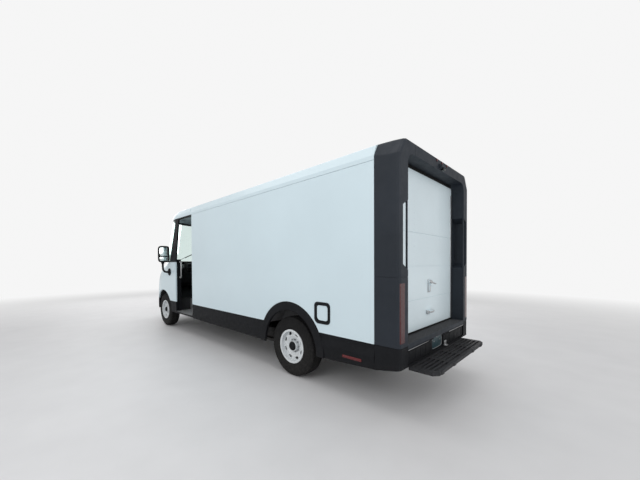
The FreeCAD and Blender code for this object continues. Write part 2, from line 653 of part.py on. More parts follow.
def rear_door():
    """Roll-up door, down: four sections in one curtain with a latch and a pull handle."""
    y0, y1 = ROLL_DOOR_Y - 48, ROLL_DOOR_Y - 2
    curtain = box(-OPEN_X + 5, OPEN_X - 5, y0, y1, FLOOR_Z + 6, OPEN_Z1 - 4)
    for z in (1102, 1498, 1890):
        curtain = curtain.cut(box(-OPEN_X, OPEN_X, y1 - 5, y1 + 1, z - 2.5, z + 2.5))
        curtain = curtain.cut(box(-OPEN_X, OPEN_X, y0 - 1, y0 + 5, z - 2.5, z + 2.5))
    rose = rod(34, V(-60, y1 - 1, 1296), V(-60, y1 + 20, 1296))
    lever = prism(rect(-205, -40, 1250, 1278), "xz", y1 + 18, y1 + 34, 10)
    keeper = prism(rect(-84, -36, 1180, 1300), "xz", y1 - 1, y1 + 19, 10)
    pull = prism(rect(-130, 10, 902, 940), "xz", y1 - 1, y1 + 42, 14)
    return fused(curtain, rose, lever, keeper, pull)


def rear_bumper():
    body = prism(rect(-HALF, HALF, FRAME_Y, REAR_Y), "xy", 432, SILL_Z - 2, [0, 0, 42, 42])
    under = [(FRAME_Y - 1, 431), (REAR_Y + 1, 431), (REAR_Y + 1, 486), (FRAME_Y - 1, 432)]
    rise = prism(under, "yz", -1200, 1200)
    face_recess = prism(rect(-880, 880, 498, 652), "xz", REAR_Y - 22, REAR_Y + 1, 10)
    seat = box(-OPEN_X - 1, OPEN_X + 1, FRAME_Y - 1, REAR_Y + 1, 658, SILL_Z)
    hollow = box(-980, 980, FRAME_Y - 1, REAR_Y - 120, 425, 650)
    plate_niche = prism(rect(PLATE_X - 165, PLATE_X + 165, 505, 662), "xz", REAR_Y - 34, REAR_Y + 1, 6)
    body = body.cut(rise).cut(face_recess).cut(seat).cut(hollow).cut(plate_niche)
    plate = prism(rect(PLATE_X - 152, PLATE_X + 152, 512, 654), "xz", REAR_Y - 36, REAR_Y - 30, 8)
    screws = [rod(3.5, V(x, REAR_Y - 44, 600), V(x, REAR_Y, 600)) for x in (PLATE_X - 89, PLATE_X + 89)]
    return fused(body, plate).cut(screws[0]).cut(screws[1])


def rear_step():
    """Gripping step plank of long bars, with chamfered ends, on two arms."""
    x, y0, y1, z0, z1 = 822.0, REAR_Y - 18, STEP_Y - 4, 440.0, 478.0
    plank = prism([(-x, y0), (x, y0), (x, y1 - 46), (x - 60, y1), (-x + 60, y1), (-x, y1 - 46)], "xy", z0, z1)
    rows, columns = 5, 4
    pitch_y = 45.0
    pitch_x = (2 * x - 90) / columns
    for row in range(rows):
        for column in range(columns):
            cx = -x + 45 + pitch_x * (column + 0.5)
            cy = REAR_Y + 34 + pitch_y * row
            slot = rect(cx - pitch_x / 2 + 14, cx + pitch_x / 2 - 14, cy - 12, cy + 12)
            plank = plank.cut(prism(slot, "xy", z0 - 1, z1 + 1))
    arms = [box(s - 30, s + 30, REAR_Y - 118, REAR_Y + 200, 412, 441) for s in (-520, 520)]
    pads = [
        prism(rect(s - 36, s + 36, z0 - 4, z1 - 2), "xz", y1 - 1, STEP_Y, 8)
        for s in (-680, -330, 330, 680)
    ]
    return fused(plank, *arms, *pads)


# ================================================================ chassis
def chassis_frame():
    front = FRONT_AXLE_Y - 520
    rear = FRAME_Y - 10
    rail = box(RAIL_X - RAIL_W / 2, RAIL_X + RAIL_W / 2, front, rear, RAIL_Z0, RAIL_Z1)
    cross_y = (front + 40, FRONT_AXLE_Y + 300, -1100, 300, 1250, 2700, rear - 90)
    members = [box(-RAIL_X, RAIL_X, y, y + 80, RAIL_Z0 + 40, RAIL_Z1 - 15) for y in cross_y]
    outriggers = [
        box(RAIL_X, WALL_IN - 10, y, y + 60, RAIL_Z1 - 60, RAIL_Z1)
        for y in (-600, 400, 1180, 2760)
    ]
    tower = box(330, 420, FRONT_AXLE_Y - 55, FRONT_AXLE_Y + 55, 430, RAIL_Z0 + 20)
    sides = [rail, tower] + outriggers
    return fused(*sides, *[mirrored(s) for s in sides], *members)


def battery_pack():
    lid = prism(rect(-690, 690, -960, 1240), "xy", 300, RAIL_Z0 - 4, 60)
    tray = prism(rect(-740, 740, -990, 1280), "xy", 290, 330, 70)
    return fused(lid, tray)


def front_suspension():
    """Crossmember with a lower and an upper arm to each kingpin."""
    beam = box(-420, 420, FRONT_AXLE_Y - 90, FRONT_AXLE_Y + 90, 300, 428)
    hanger = box(424, 446, FRONT_AXLE_Y - 110, FRONT_AXLE_Y + 110, 380, RAIL_Z0 - 2)
    hanger = hanger.cut(box(320, 480, FRONT_AXLE_Y - 72, FRONT_AXLE_Y + 72, 429, 600))
    flange = box(400, 446, FRONT_AXLE_Y - 90, FRONT_AXLE_Y + 90, 380, 428)
    side = [hanger, flange]
    for z, root in ((272, V(395, 70, 330)), (520, V(435, 92, 470))):
        for way in (-1, 1):
            start = V(root.x, FRONT_AXLE_Y + way * root.y, root.z)
            side.append(rod(17, start, V(KINGPIN_X, FRONT_AXLE_Y, z)))
        side.append(rod(38, V(KINGPIN_X, FRONT_AXLE_Y, z - 18), V(KINGPIN_X, FRONT_AXLE_Y, z + 18)))
    bore = rod(KINGPIN_R + RUN_FIT, V(KINGPIN_X, FRONT_AXLE_Y, 200), V(KINGPIN_X, FRONT_AXLE_Y, 600))
    arms = fused(*side).cut(bore)
    return fused(beam, arms, mirrored(arms))


def knuckle():
    """Left steering knuckle: kingpin, upright and spindle."""
    pin = rod(KINGPIN_R, V(KINGPIN_X, FRONT_AXLE_Y, 250), V(KINGPIN_X, FRONT_AXLE_Y, 542))
    upright_block = box(KINGPIN_X - 32, KINGPIN_X + 32, FRONT_AXLE_Y - 42, FRONT_AXLE_Y + 42, 306, 484)
    brake = disc_x(150, KINGPIN_X + 44, KINGPIN_X + 66, FRONT_AXLE_Y, TYRE_R)
    spindle = disc_x(SPINDLE_R, KINGPIN_X, WHEEL_X + 60, FRONT_AXLE_Y, TYRE_R)
    return fused(upright_block, pin, brake, spindle)


def rear_axle():
    """Beam axle with its drive unit, brake flanges, spindles and leaf springs."""
    beam = disc_x(58, -700, 700, REAR_AXLE_Y, TYRE_R)
    unit = prism(rect(REAR_AXLE_Y - 190, REAR_AXLE_Y + 230, 265, 505), "yz", -205, 205, 60)
    side = [
        disc_x(150, 700, 750, REAR_AXLE_Y, TYRE_R),
        disc_x(SPINDLE_R, 740, WHEEL_X + 60, REAR_AXLE_Y, TYRE_R),
        leaf_spring(),
    ]
    return fused(beam, unit, *side, *[mirrored(s) for s in side])


def leaf_spring():
    """One tapered leaf seen as an arc, from hanger to hanger, on the axle beam."""
    reach, sag, thick = 640.0, 96.0, 26.0
    x0, x1 = 470.0, 545.0
    z_mid, z_end = TYRE_R + 58, TYRE_R + 58 + sag

    def arc(offset):
        return Part.Arc(
            V(x0, REAR_AXLE_Y - reach, z_end + offset),
            V(x0, REAR_AXLE_Y, z_mid - 6 + offset),
            V(x0, REAR_AXLE_Y + reach, z_end + offset),
        ).toShape()

    low, high = arc(0), arc(thick)
    ends = [Part.LineSegment(low.Vertexes[i].Point, high.Vertexes[i].Point).toShape() for i in (0, 1)]
    face = Part.Face(Part.Wire([low, ends[1], high, ends[0]]))
    leaf = face.extrude(V(x1 - x0, 0, 0))
    eyes = [disc_x(30, x0, x1, REAR_AXLE_Y + s * reach, z_end + thick / 2) for s in (-1, 1)]
    rail_room = box(0, RAIL_X + RAIL_W / 2, 0, 4000, 0, 2000)
    hangers = []
    for y in (REAR_AXLE_Y - reach, REAR_AXLE_Y + reach):
        hangers.append(box(x0 - 40, x1, y - 35, y + 35, z_end - 20, RAIL_Z1 - 65).cut(rail_room))
    return fused(leaf, *eyes, *hangers)


# ================================================================ wheels
def tyre(x, y):
    """Tyre centred at (x, y): a revolved section with rounded shoulders."""
    half = TYRE_WIDTH / 2
    section = [
        (RIM_R, -half + 34), (RIM_R + 50, -half + 2), (300, -half), (TYRE_R - 30, -half + 12),
        (TYRE_R - 6, -half + 34), (TYRE_R, -half + 70), (TYRE_R, half - 70), (TYRE_R - 6, half - 34),
        (TYRE_R - 30, half - 12), (300, half), (RIM_R + 50, half - 2), (RIM_R, half - 34),
    ]
    radii = [0, 20, 60, 14, 14, 30, 30, 14, 14, 60, 20, 0]
    wire = rounded_wire([(w, r) for r, w in section], "xz", 0, radii)
    solid = Part.Face(wire).revolve(V(0, 0, 0), V(1, 0, 0), 360)
    solid.translate(V(x, y, TYRE_R))
    return solid


def rim(x, y):
    """Steel disc wheel with eight oval windows; its dish faces the +X side."""
    half = TYRE_WIDTH / 2
    bowl = disc_x(RIM_R - 14, -half - 1, half + 1, 0, 0)
    barrel = disc_x(RIM_R - 0.3, -half + 20, half - 20, 0, 0).cut(bowl)
    flange = disc_x(RIM_R + 13, half - 20, half - 8, 0, 0).cut(bowl)
    inner_flange = disc_x(RIM_R + 13, -half + 8, -half + 20, 0, 0).cut(bowl)
    dish = Part.Face(
        rounded_wire(
            [
                (30, 0), (30, 84), (44, 92), (70, 140), (62, 203),
                (50, 203), (57, 140), (30, 100), (14, 90), (14, 0),
            ],
            "xz", 0, [0, 6, 8, 24, 0, 0, 20, 6, 6, 0],
        )
    ).revolve(V(0, 0, 0), V(1, 0, 0), 360)
    for k in range(8):
        oval = prism(rect(-29, 29, 166 - 18, 166 + 18), "yz", 20, 90, 17)
        oval.rotate(V(0, 0, 0), V(1, 0, 0), 22.5 + 45 * k)
        dish = dish.cut(oval)
    hub = disc_x(72, -4, 86, 0, 0).cut(disc_x(64, 70, 87, 0, 0))
    cap = disc_x(64, 70, 78, 0, 0)
    whole = fused(barrel, flange, inner_flange, dish, hub, cap)
    bore = disc_x(SPINDLE_R + RUN_FIT, -5, 62, 0, 0)
    whole = whole.cut(bore)
    if x < 0:
        whole = mirrored(whole)
    whole.translate(V(x, y, TYRE_R))
    return whole


# ================================================================ assembly
def nodes():
    door, glass, knuckle_left = cab_door(), cab_door_glass(), knuckle()
    opened = V(0, DOOR_TRAVEL, 0)
    skirt, sill = side_skirt(), front_sill()
    made = {
        "chassis_frame": chassis_frame(),
        "battery_pack": battery_pack(),
        "front_suspension": front_suspension(),
        "rear_axle": rear_axle(),
        "cargo_floor": cargo_floor(),
        "side_wall_left": side_wall(True),
        "side_wall_right": mirrored(side_wall(False)),
        "side_skirts": Part.Compound([skirt, mirrored(skirt), sill, mirrored(sill)]),
        "roof": roof(),
        "cab_roof": cab_roof(),
        "bulkhead": bulkhead(),
        "bulkhead_door": bulkhead_door(),
        "rear_frame": rear_frame(),
        "rear_door": rear_door(),
        "grab_handles": grab_handles(),
        "tail_lights": tail_lights(),
        "rear_bumper": rear_bumper(),
        "rear_step": rear_step(),
        "cab_floor": cab_floor(),
        "windshield_frame": windshield_frame(),
        "windshield": windshield(),
        "fenders": fenders(),
        "front_fascia": front_fascia(),
        "cowl": cowl(),
        "front_bumper": front_bumper(),
        "headlights": headlights(),
        "hood": hood(),
        "dashboard": dashboard(),
        "steering_wheel": steering_wheel(),
        "driver_seat": driver_seat(),
        "mirrors": mirrors(),
        "mirror_glass": mirror_glass(),
        "charge_inlet": charge_inlet(),
        "charge_door": charge_door(),
        "cab_door_left": door.translated(opened),
        "cab_door_glass_left": glass.translated(opened),
        "cab_door_right": mirrored(door),
        "cab_door_glass_right": mirrored(glass),
        "knuckle_left": knuckle_left,
        "knuckle_right": mirrored(knuckle_left),
    }
    for end, y in (("front", FRONT_AXLE_Y), ("rear", REAR_AXLE_Y)):
        for side, x in (("left", WHEEL_X), ("right", -WHEEL_X)):
            made[f"tyre_{end}_{side}"] = tyre(x, y)
            made[f"rim_{end}_{side}"] = rim(x, y)
    return made


def main():
    os.makedirs("parts", exist_ok=True)
    for name, shape in nodes().items():
        solids = shape.Solids
        if not solids or not all(s.isValid() and s.Volume > 0 for s in solids):
            print("PROBLEM", name, [(s.isValid(), round(s.Volume)) for s in solids])
        whole = solids[0] if len(solids) == 1 else Part.Compound(solids)
        whole.exportStep(f"parts/{name}.step")


main()
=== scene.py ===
"""Looks of the electric walk-in cargo van: finishes for the CAD nodes and the small pieces on them.

Metres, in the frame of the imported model: +Z up, the nose along -Y, the driver's side +X.
"""

import math

import bmesh
import bpy
from mathutils import Matrix, Vector
from mathutils.bvhtree import BVHTree


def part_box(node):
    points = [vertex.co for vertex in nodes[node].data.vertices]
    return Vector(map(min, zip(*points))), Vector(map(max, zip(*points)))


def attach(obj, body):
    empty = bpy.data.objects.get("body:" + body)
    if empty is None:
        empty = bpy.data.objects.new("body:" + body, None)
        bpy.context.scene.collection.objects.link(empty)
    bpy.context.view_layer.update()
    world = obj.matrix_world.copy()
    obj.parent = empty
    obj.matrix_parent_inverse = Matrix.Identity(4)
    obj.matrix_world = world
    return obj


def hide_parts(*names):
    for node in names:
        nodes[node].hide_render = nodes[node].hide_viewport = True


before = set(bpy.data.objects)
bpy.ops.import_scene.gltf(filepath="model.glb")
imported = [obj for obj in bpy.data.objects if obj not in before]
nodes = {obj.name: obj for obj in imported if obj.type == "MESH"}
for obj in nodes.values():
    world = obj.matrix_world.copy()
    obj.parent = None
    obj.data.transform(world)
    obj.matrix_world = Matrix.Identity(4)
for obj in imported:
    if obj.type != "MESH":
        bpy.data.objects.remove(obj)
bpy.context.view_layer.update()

# ---------------------------------------------------------------- places taken from the frame
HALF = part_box("side_wall_left")[1].x
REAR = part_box("rear_bumper")[1].y
SIDES = (("left", 1), ("right", -1))


def centre(node):
    low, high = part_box(node)
    return (low + high) / 2


# ================================================================ materials
def link(tree, source, target):
    tree.links.new(source, target)


def noise(tree, coords, scale, detail=4.0, stretch=None):
    """A noise texture's value in object space, stretched along an axis where asked."""
    texture = tree.nodes.new("ShaderNodeTexNoise")
    texture.inputs["Scale"].default_value = scale
    texture.inputs["Detail"].default_value = detail
    if stretch:
        mapping = tree.nodes.new("ShaderNodeMapping")
        mapping.inputs["Scale"].default_value = stretch
        link(tree, coords, mapping.inputs["Vector"])
        coords = mapping.outputs["Vector"]
    link(tree, coords, texture.inputs["Vector"])
    return texture.outputs["Fac"]


def remap(tree, value, low, high, out_low, out_high):
    node = tree.nodes.new("ShaderNodeMapRange")
    for name, number in (("From Min", low), ("From Max", high), ("To Min", out_low),
                         ("To Max", out_high)):
        node.inputs[name].default_value = number
    link(tree, value, node.inputs["Value"])
    return node.outputs["Result"]


def math_node(tree, operation, a, b):
    node = tree.nodes.new("ShaderNodeMath")
    node.operation = operation
    for socket, value in zip(node.inputs, (a, b)):
        if isinstance(value, (int, float)):
            socket.default_value = value
        else:
            link(tree, value, socket)
    return node.outputs["Value"]


def mixed(tree, factor, a, b):
    """Colour a turning into colour b as factor goes from 0 to 1."""
    node = tree.nodes.new("ShaderNodeMix")
    node.data_type = "RGBA"
    link(tree, factor, node.inputs["Factor"])
    for socket, value in ((node.inputs[6], a), (node.inputs[7], b)):
        if isinstance(value, tuple):
            socket.default_value = (*value, 1.0)
        else:
            link(tree, value, socket)
    return node.outputs[2]


def bands(tree, coords, pitch, axis="X", profile="SIN"):
    """Ridges of that pitch across an axis of object space."""
    wave = tree.nodes.new("ShaderNodeTexWave")
    wave.bands_direction = axis
    wave.wave_profile = profile
    wave.inputs["Scale"].default_value = math.pi / (10.0 * pitch)
    wave.inputs["Distortion"].default_value = 0.0
    link(tree, coords, wave.inputs["Vector"])
    return wave.outputs["Fac"]


def finish(name, base, rough, *, metal=0.0, coat=0.0, mottle=(5.0, 0.05), grain=(700.0, 0.15, 0.0004),
           dust=None, relief=None, waves=0.0, clear=0.0, ior=1.5, sheen=0.0, shine=0.5, brushed=None):
    """A material with mottled colour and roughness, grain in its surface and dust low down.

    mottle is (scale, amount), grain (scale, strength, height in metres), dust (top of the dust,
    amount), and relief a function (tree, coords) giving a height of its own.
    """
    material = bpy.data.materials.new(name)
    material.use_nodes = True
    tree = material.node_tree
    shader = tree.nodes["Principled BSDF"]
    coords = tree.nodes.new("ShaderNodeTexCoord").outputs["Object"]
    patchy = noise(tree, coords, mottle[0], 6.0)
    light = tuple(min(1.0, c * (1 + mottle[1])) for c in base)
    dark = tuple(c * (1 - mottle[1]) for c in base)
    colour = mixed(tree, remap(tree, patchy, 0.3, 0.7, 0.0, 1.0), dark, light)
    roughness = remap(tree, noise(tree, coords, mottle[0] * 4.3, 5.0), 0.25, 0.75, rough * 0.86,
                      min(1.0, rough * 1.16))
    if dust:
        top, amount = dust
        height = tree.nodes.new("ShaderNodeSeparateXYZ")
        link(tree, coords, height.inputs["Vector"])
        low = remap(tree, height.outputs["Z"], 0.05, top, 1.0, 0.0)
        specks = remap(tree, noise(tree, coords, 38.0, 8.0), 0.36, 0.68, 0.0, amount)
        factor = math_node(tree, "MULTIPLY", low, specks)
        colour = mixed(tree, factor, colour, (0.16, 0.145, 0.125))
        roughness = math_node(tree, "MAXIMUM", roughness, math_node(tree, "MULTIPLY", factor, 0.9))
    link(tree, colour, shader.inputs["Base Color"])
    link(tree, roughness, shader.inputs["Roughness"])
    fine = noise(tree, coords, grain[0], 3.0, brushed)
    heights = math_node(tree, "MULTIPLY", fine, grain[1])
    if relief:
        heights = math_node(tree, "ADD", heights, relief(tree, coords))
    bump = tree.nodes.new("ShaderNodeBump")
    bump.inputs["Distance"].default_value = grain[2]
    bump.inputs["Strength"].default_value = 1.0
    link(tree, heights, bump.inputs["Height"])
    if waves:
        broad = tree.nodes.new("ShaderNodeBump")
        broad.inputs["Distance"].default_value = waves
        link(tree, noise(tree, coords, 1.3, 1.0), broad.inputs["Height"])
        link(tree, broad.outputs["Normal"], bump.inputs["Normal"])
    link(tree, bump.outputs["Normal"], shader.inputs["Normal"])
    shader.inputs["Metallic"].default_value = metal
    shader.inputs["IOR"].default_value = ior
    shader.inputs["Coat Weight"].default_value = coat
    shader.inputs["Coat Roughness"].default_value = 0.06
    shader.inputs["Transmission Weight"].default_value = clear
    shader.inputs["Sheen Weight"].default_value = sheen
    shader.inputs["Specular IOR Level"].default_value = shine
    return material


def weave(tree, coords):
    over = math_node(tree, "MULTIPLY", bands(tree, coords, 0.0022, "X"), bands(tree, coords, 0.0044, "Y"))
    under = math_node(tree, "MULTIPLY", bands(tree, coords, 0.0044, "X"),
                      bands(tree, coords, 0.0022, "Z"))
    return math_node(tree, "ADD", over, under)


def flutes(axis, pitch, height=1.0):
    return lambda tree, coords: math_node(tree, "MULTIPLY", bands(tree, coords, pitch, axis), height)


def diamond_plate(tree, coords):
    """Short bars leaning both ways, as on tread plate."""
    turned = tree.nodes.new("ShaderNodeMapping")
    turned.inputs["Rotation"].default_value = (math.radians(45), math.radians(45), math.radians(45))
    link(tree, coords, turned.inputs["Vector"])
    one = bands(tree, turned.outputs["Vector"], 0.022, "X")
    two = bands(tree, turned.outputs["Vector"], 0.022, "Y")
    return remap(tree, math_node(tree, "MULTIPLY", one, two), 0.55, 0.75, 0.0, 3.0)


PAINT = finish("body_paint", (0.610, 0.730, 0.785), 0.34, coat=0.35, mottle=(1.4, 0.02),
               grain=(260.0, 0.12, 0.0003), dust=(0.95, 0.10), waves=0.004)
PAINT_DOOR = finish("door_paint", (0.635, 0.735, 0.780), 0.38, coat=0.2, mottle=(2.2, 0.03),
                    grain=(420.0, 0.25, 0.0005), dust=(1.0, 0.14), waves=0.003)
CHARCOAL = finish("charcoal_moulding", (0.0165, 0.0215, 0.0295), 0.55, shine=0.25, mottle=(2.4, 0.10),
                  grain=(1100.0, 0.5, 0.0006), dust=(0.8, 0.05))
BLACK = finish("black_moulding", (0.0055, 0.0062, 0.0080), 0.60, shine=0.18, mottle=(4.0, 0.14),
               grain=(1300.0, 0.6, 0.0006), dust=(0.55, 0.10))
GLOSS_BLACK = finish("gloss_black", (0.006, 0.0065, 0.007), 0.25, shine=0.4, coat=0.2, mottle=(6.0, 0.1),
                     grain=(300.0, 0.1, 0.0002))
STEP_BLACK = finish("step_black", (0.013, 0.014, 0.0175), 0.62, shine=0.3, mottle=(9.0, 0.2),
                    grain=(900.0, 0.9, 0.0008), dust=(0.6, 0.35))
CABIN = finish("cabin_moulding", (0.016, 0.0165, 0.018), 0.66, shine=0.25, mottle=(5.0, 0.08),
               grain=(1200.0, 0.7, 0.0006))
CABIN_LIGHT = finish("cabin_lining", (0.30, 0.31, 0.32), 0.7, mottle=(4.0, 0.05),
                     grain=(800.0, 0.6, 0.0006))
CHASSIS = finish("chassis_coating", (0.010, 0.010, 0.011), 0.55, shine=0.3, mottle=(8.0, 0.2),
                 grain=(300.0, 0.4, 0.0006),
                 dust=(0.8, 0.45))
CAST = finish("cast_iron", (0.085, 0.082, 0.080), 0.62, metal=0.6, mottle=(14.0, 0.25),
              grain=(420.0, 1.0, 0.0009),
              dust=(0.7, 0.4))
STEEL = finish("bare_steel", (0.42, 0.42, 0.43), 0.30, metal=1.0, mottle=(30.0, 0.12),
               grain=(500.0, 0.3, 0.0003))
BRUSHED = finish("brushed_alloy", (0.55, 0.56, 0.57), 0.34, metal=0.85, mottle=(9.0, 0.07),
                 grain=(160.0, 0.5, 0.0003), brushed=(1.0, 0.04, 1.0))
GRIP = finish("grip_coating", (0.050, 0.052, 0.056), 0.85, shine=0.3, mottle=(60.0, 0.3),
              grain=(700.0, 1.0, 0.0015))
FLOOR_PLY = finish("floor_coating", (0.12, 0.12, 0.125), 0.75, mottle=(7.0, 0.15),
                   grain=(500.0, 1.0, 0.001),
                   relief=flutes("X", 0.012, 0.8))
PLATE = finish("tread_plate", (0.50, 0.51, 0.52), 0.38, metal=0.8, mottle=(12.0, 0.1),
               grain=(300.0, 0.3, 0.0009),
               relief=diamond_plate)
ENAMEL = finish("wheel_enamel", (0.66, 0.69, 0.71), 0.36, coat=0.2, mottle=(9.0, 0.05),
                grain=(600.0, 0.2, 0.0004),
                dust=(0.75, 0.22))
RUBBER = finish("tyre_rubber", (0.0085, 0.0085, 0.009), 0.78, shine=0.2, mottle=(11.0, 0.18),
                grain=(900.0, 0.8, 0.0006),
                dust=(0.70, 0.12))
SEAL = finish("seal_rubber", (0.006, 0.006, 0.006), 0.8, shine=0.2, mottle=(16.0, 0.2),
              grain=(1500.0, 0.8, 0.0005))
GLASS = finish("tinted_glass", (0.72, 0.84, 0.81), 0.03, clear=1.0, ior=1.12, mottle=(3.0, 0.02),
               grain=(60.0, 0.02, 0.0001))
MIRROR = finish("mirror_silver", (0.80, 0.86, 0.84), 0.04, metal=1.0, mottle=(3.0, 0.02),
                grain=(40.0, 0.02, 0.0001))
RED_LENS = finish("red_lens", (0.050, 0.0045, 0.006), 0.2, shine=0.4, coat=0.15, mottle=(40.0, 0.12),
                  grain=(300.0, 0.1, 0.0012),
                  relief=flutes("Z", 0.012, 0.7))
RED_BRIGHT = finish("red_marker", (0.11, 0.008, 0.010), 0.25, shine=0.4, coat=0.15, mottle=(40.0, 0.1),
                    grain=(300.0, 0.1, 0.001),
                    relief=flutes("Y", 0.006, 0.7))
AMBER = finish("amber_lens", (0.62, 0.20, 0.015), 0.18, coat=0.8, mottle=(40.0, 0.1),
               grain=(300.0, 0.1, 0.001),
               relief=flutes("Y", 0.006, 0.7))
CLEAR_LENS = finish("clear_lens", (0.80, 0.84, 0.86), 0.10, clear=0.75, ior=1.3, coat=0.5,
                    mottle=(20.0, 0.03),
                    grain=(200.0, 0.1, 0.001), relief=flutes("X", 0.014, 0.6))
REFLECTOR = finish("lamp_reflector", (0.78, 0.79, 0.80), 0.12, metal=1.0, mottle=(60.0, 0.05),
                   grain=(400.0, 0.1, 0.0003))
CLOTH = finish("seat_cloth", (0.030, 0.032, 0.036), 0.92, sheen=0.35, mottle=(22.0, 0.22),
               grain=(1600.0, 0.5, 0.0012),
               relief=weave)
PIPING = finish("seat_piping", (0.075, 0.078, 0.083), 0.7, mottle=(60.0, 0.2),
                grain=(1500.0, 0.6, 0.0005))
PLATE_BLANK = finish("blank_plate", (0.012, 0.040, 0.050), 0.42, mottle=(14.0, 0.05),
                     grain=(500.0, 0.3, 0.0003))
SCREEN = finish("display_glass", (0.012, 0.016, 0.022), 0.09, coat=1.0, mottle=(12.0, 0.2),
                grain=(200.0, 0.02, 0.0001))

NODE_FINISH = {
    PAINT: ("side_wall_left side_wall_right roof cab_roof fenders front_fascia hood charge_door "
            "cab_door_left cab_door_right"),
    PAINT_DOOR: "rear_door",
    CHARCOAL: "rear_frame grab_handles",
    BLACK: "side_skirts rear_bumper windshield_frame front_bumper charge_inlet cowl mirrors",
    STEP_BLACK: "rear_step",
    CABIN: "dashboard cab_floor steering_wheel",
    CABIN_LIGHT: "bulkhead bulkhead_door",
    CHASSIS: "chassis_frame battery_pack",
    CAST: "front_suspension rear_axle knuckle_left knuckle_right",
    FLOOR_PLY: "cargo_floor",
    GLASS: "windshield cab_door_glass_left cab_door_glass_right",
    MIRROR: "mirror_glass",
    RED_LENS: "tail_lights",
    CLEAR_LENS: "headlights",
    ENAMEL: "rim_front_left rim_front_right rim_rear_left rim_rear_right",
    CLOTH: "driver_seat",
    RUBBER: "tyre_front_left tyre_front_right tyre_rear_left tyre_rear_right",
}
for material, names in NODE_FINISH.items():
    for name in names.split():
        data = nodes[name].data
        data.materials.clear()
        data.materials.append(material)


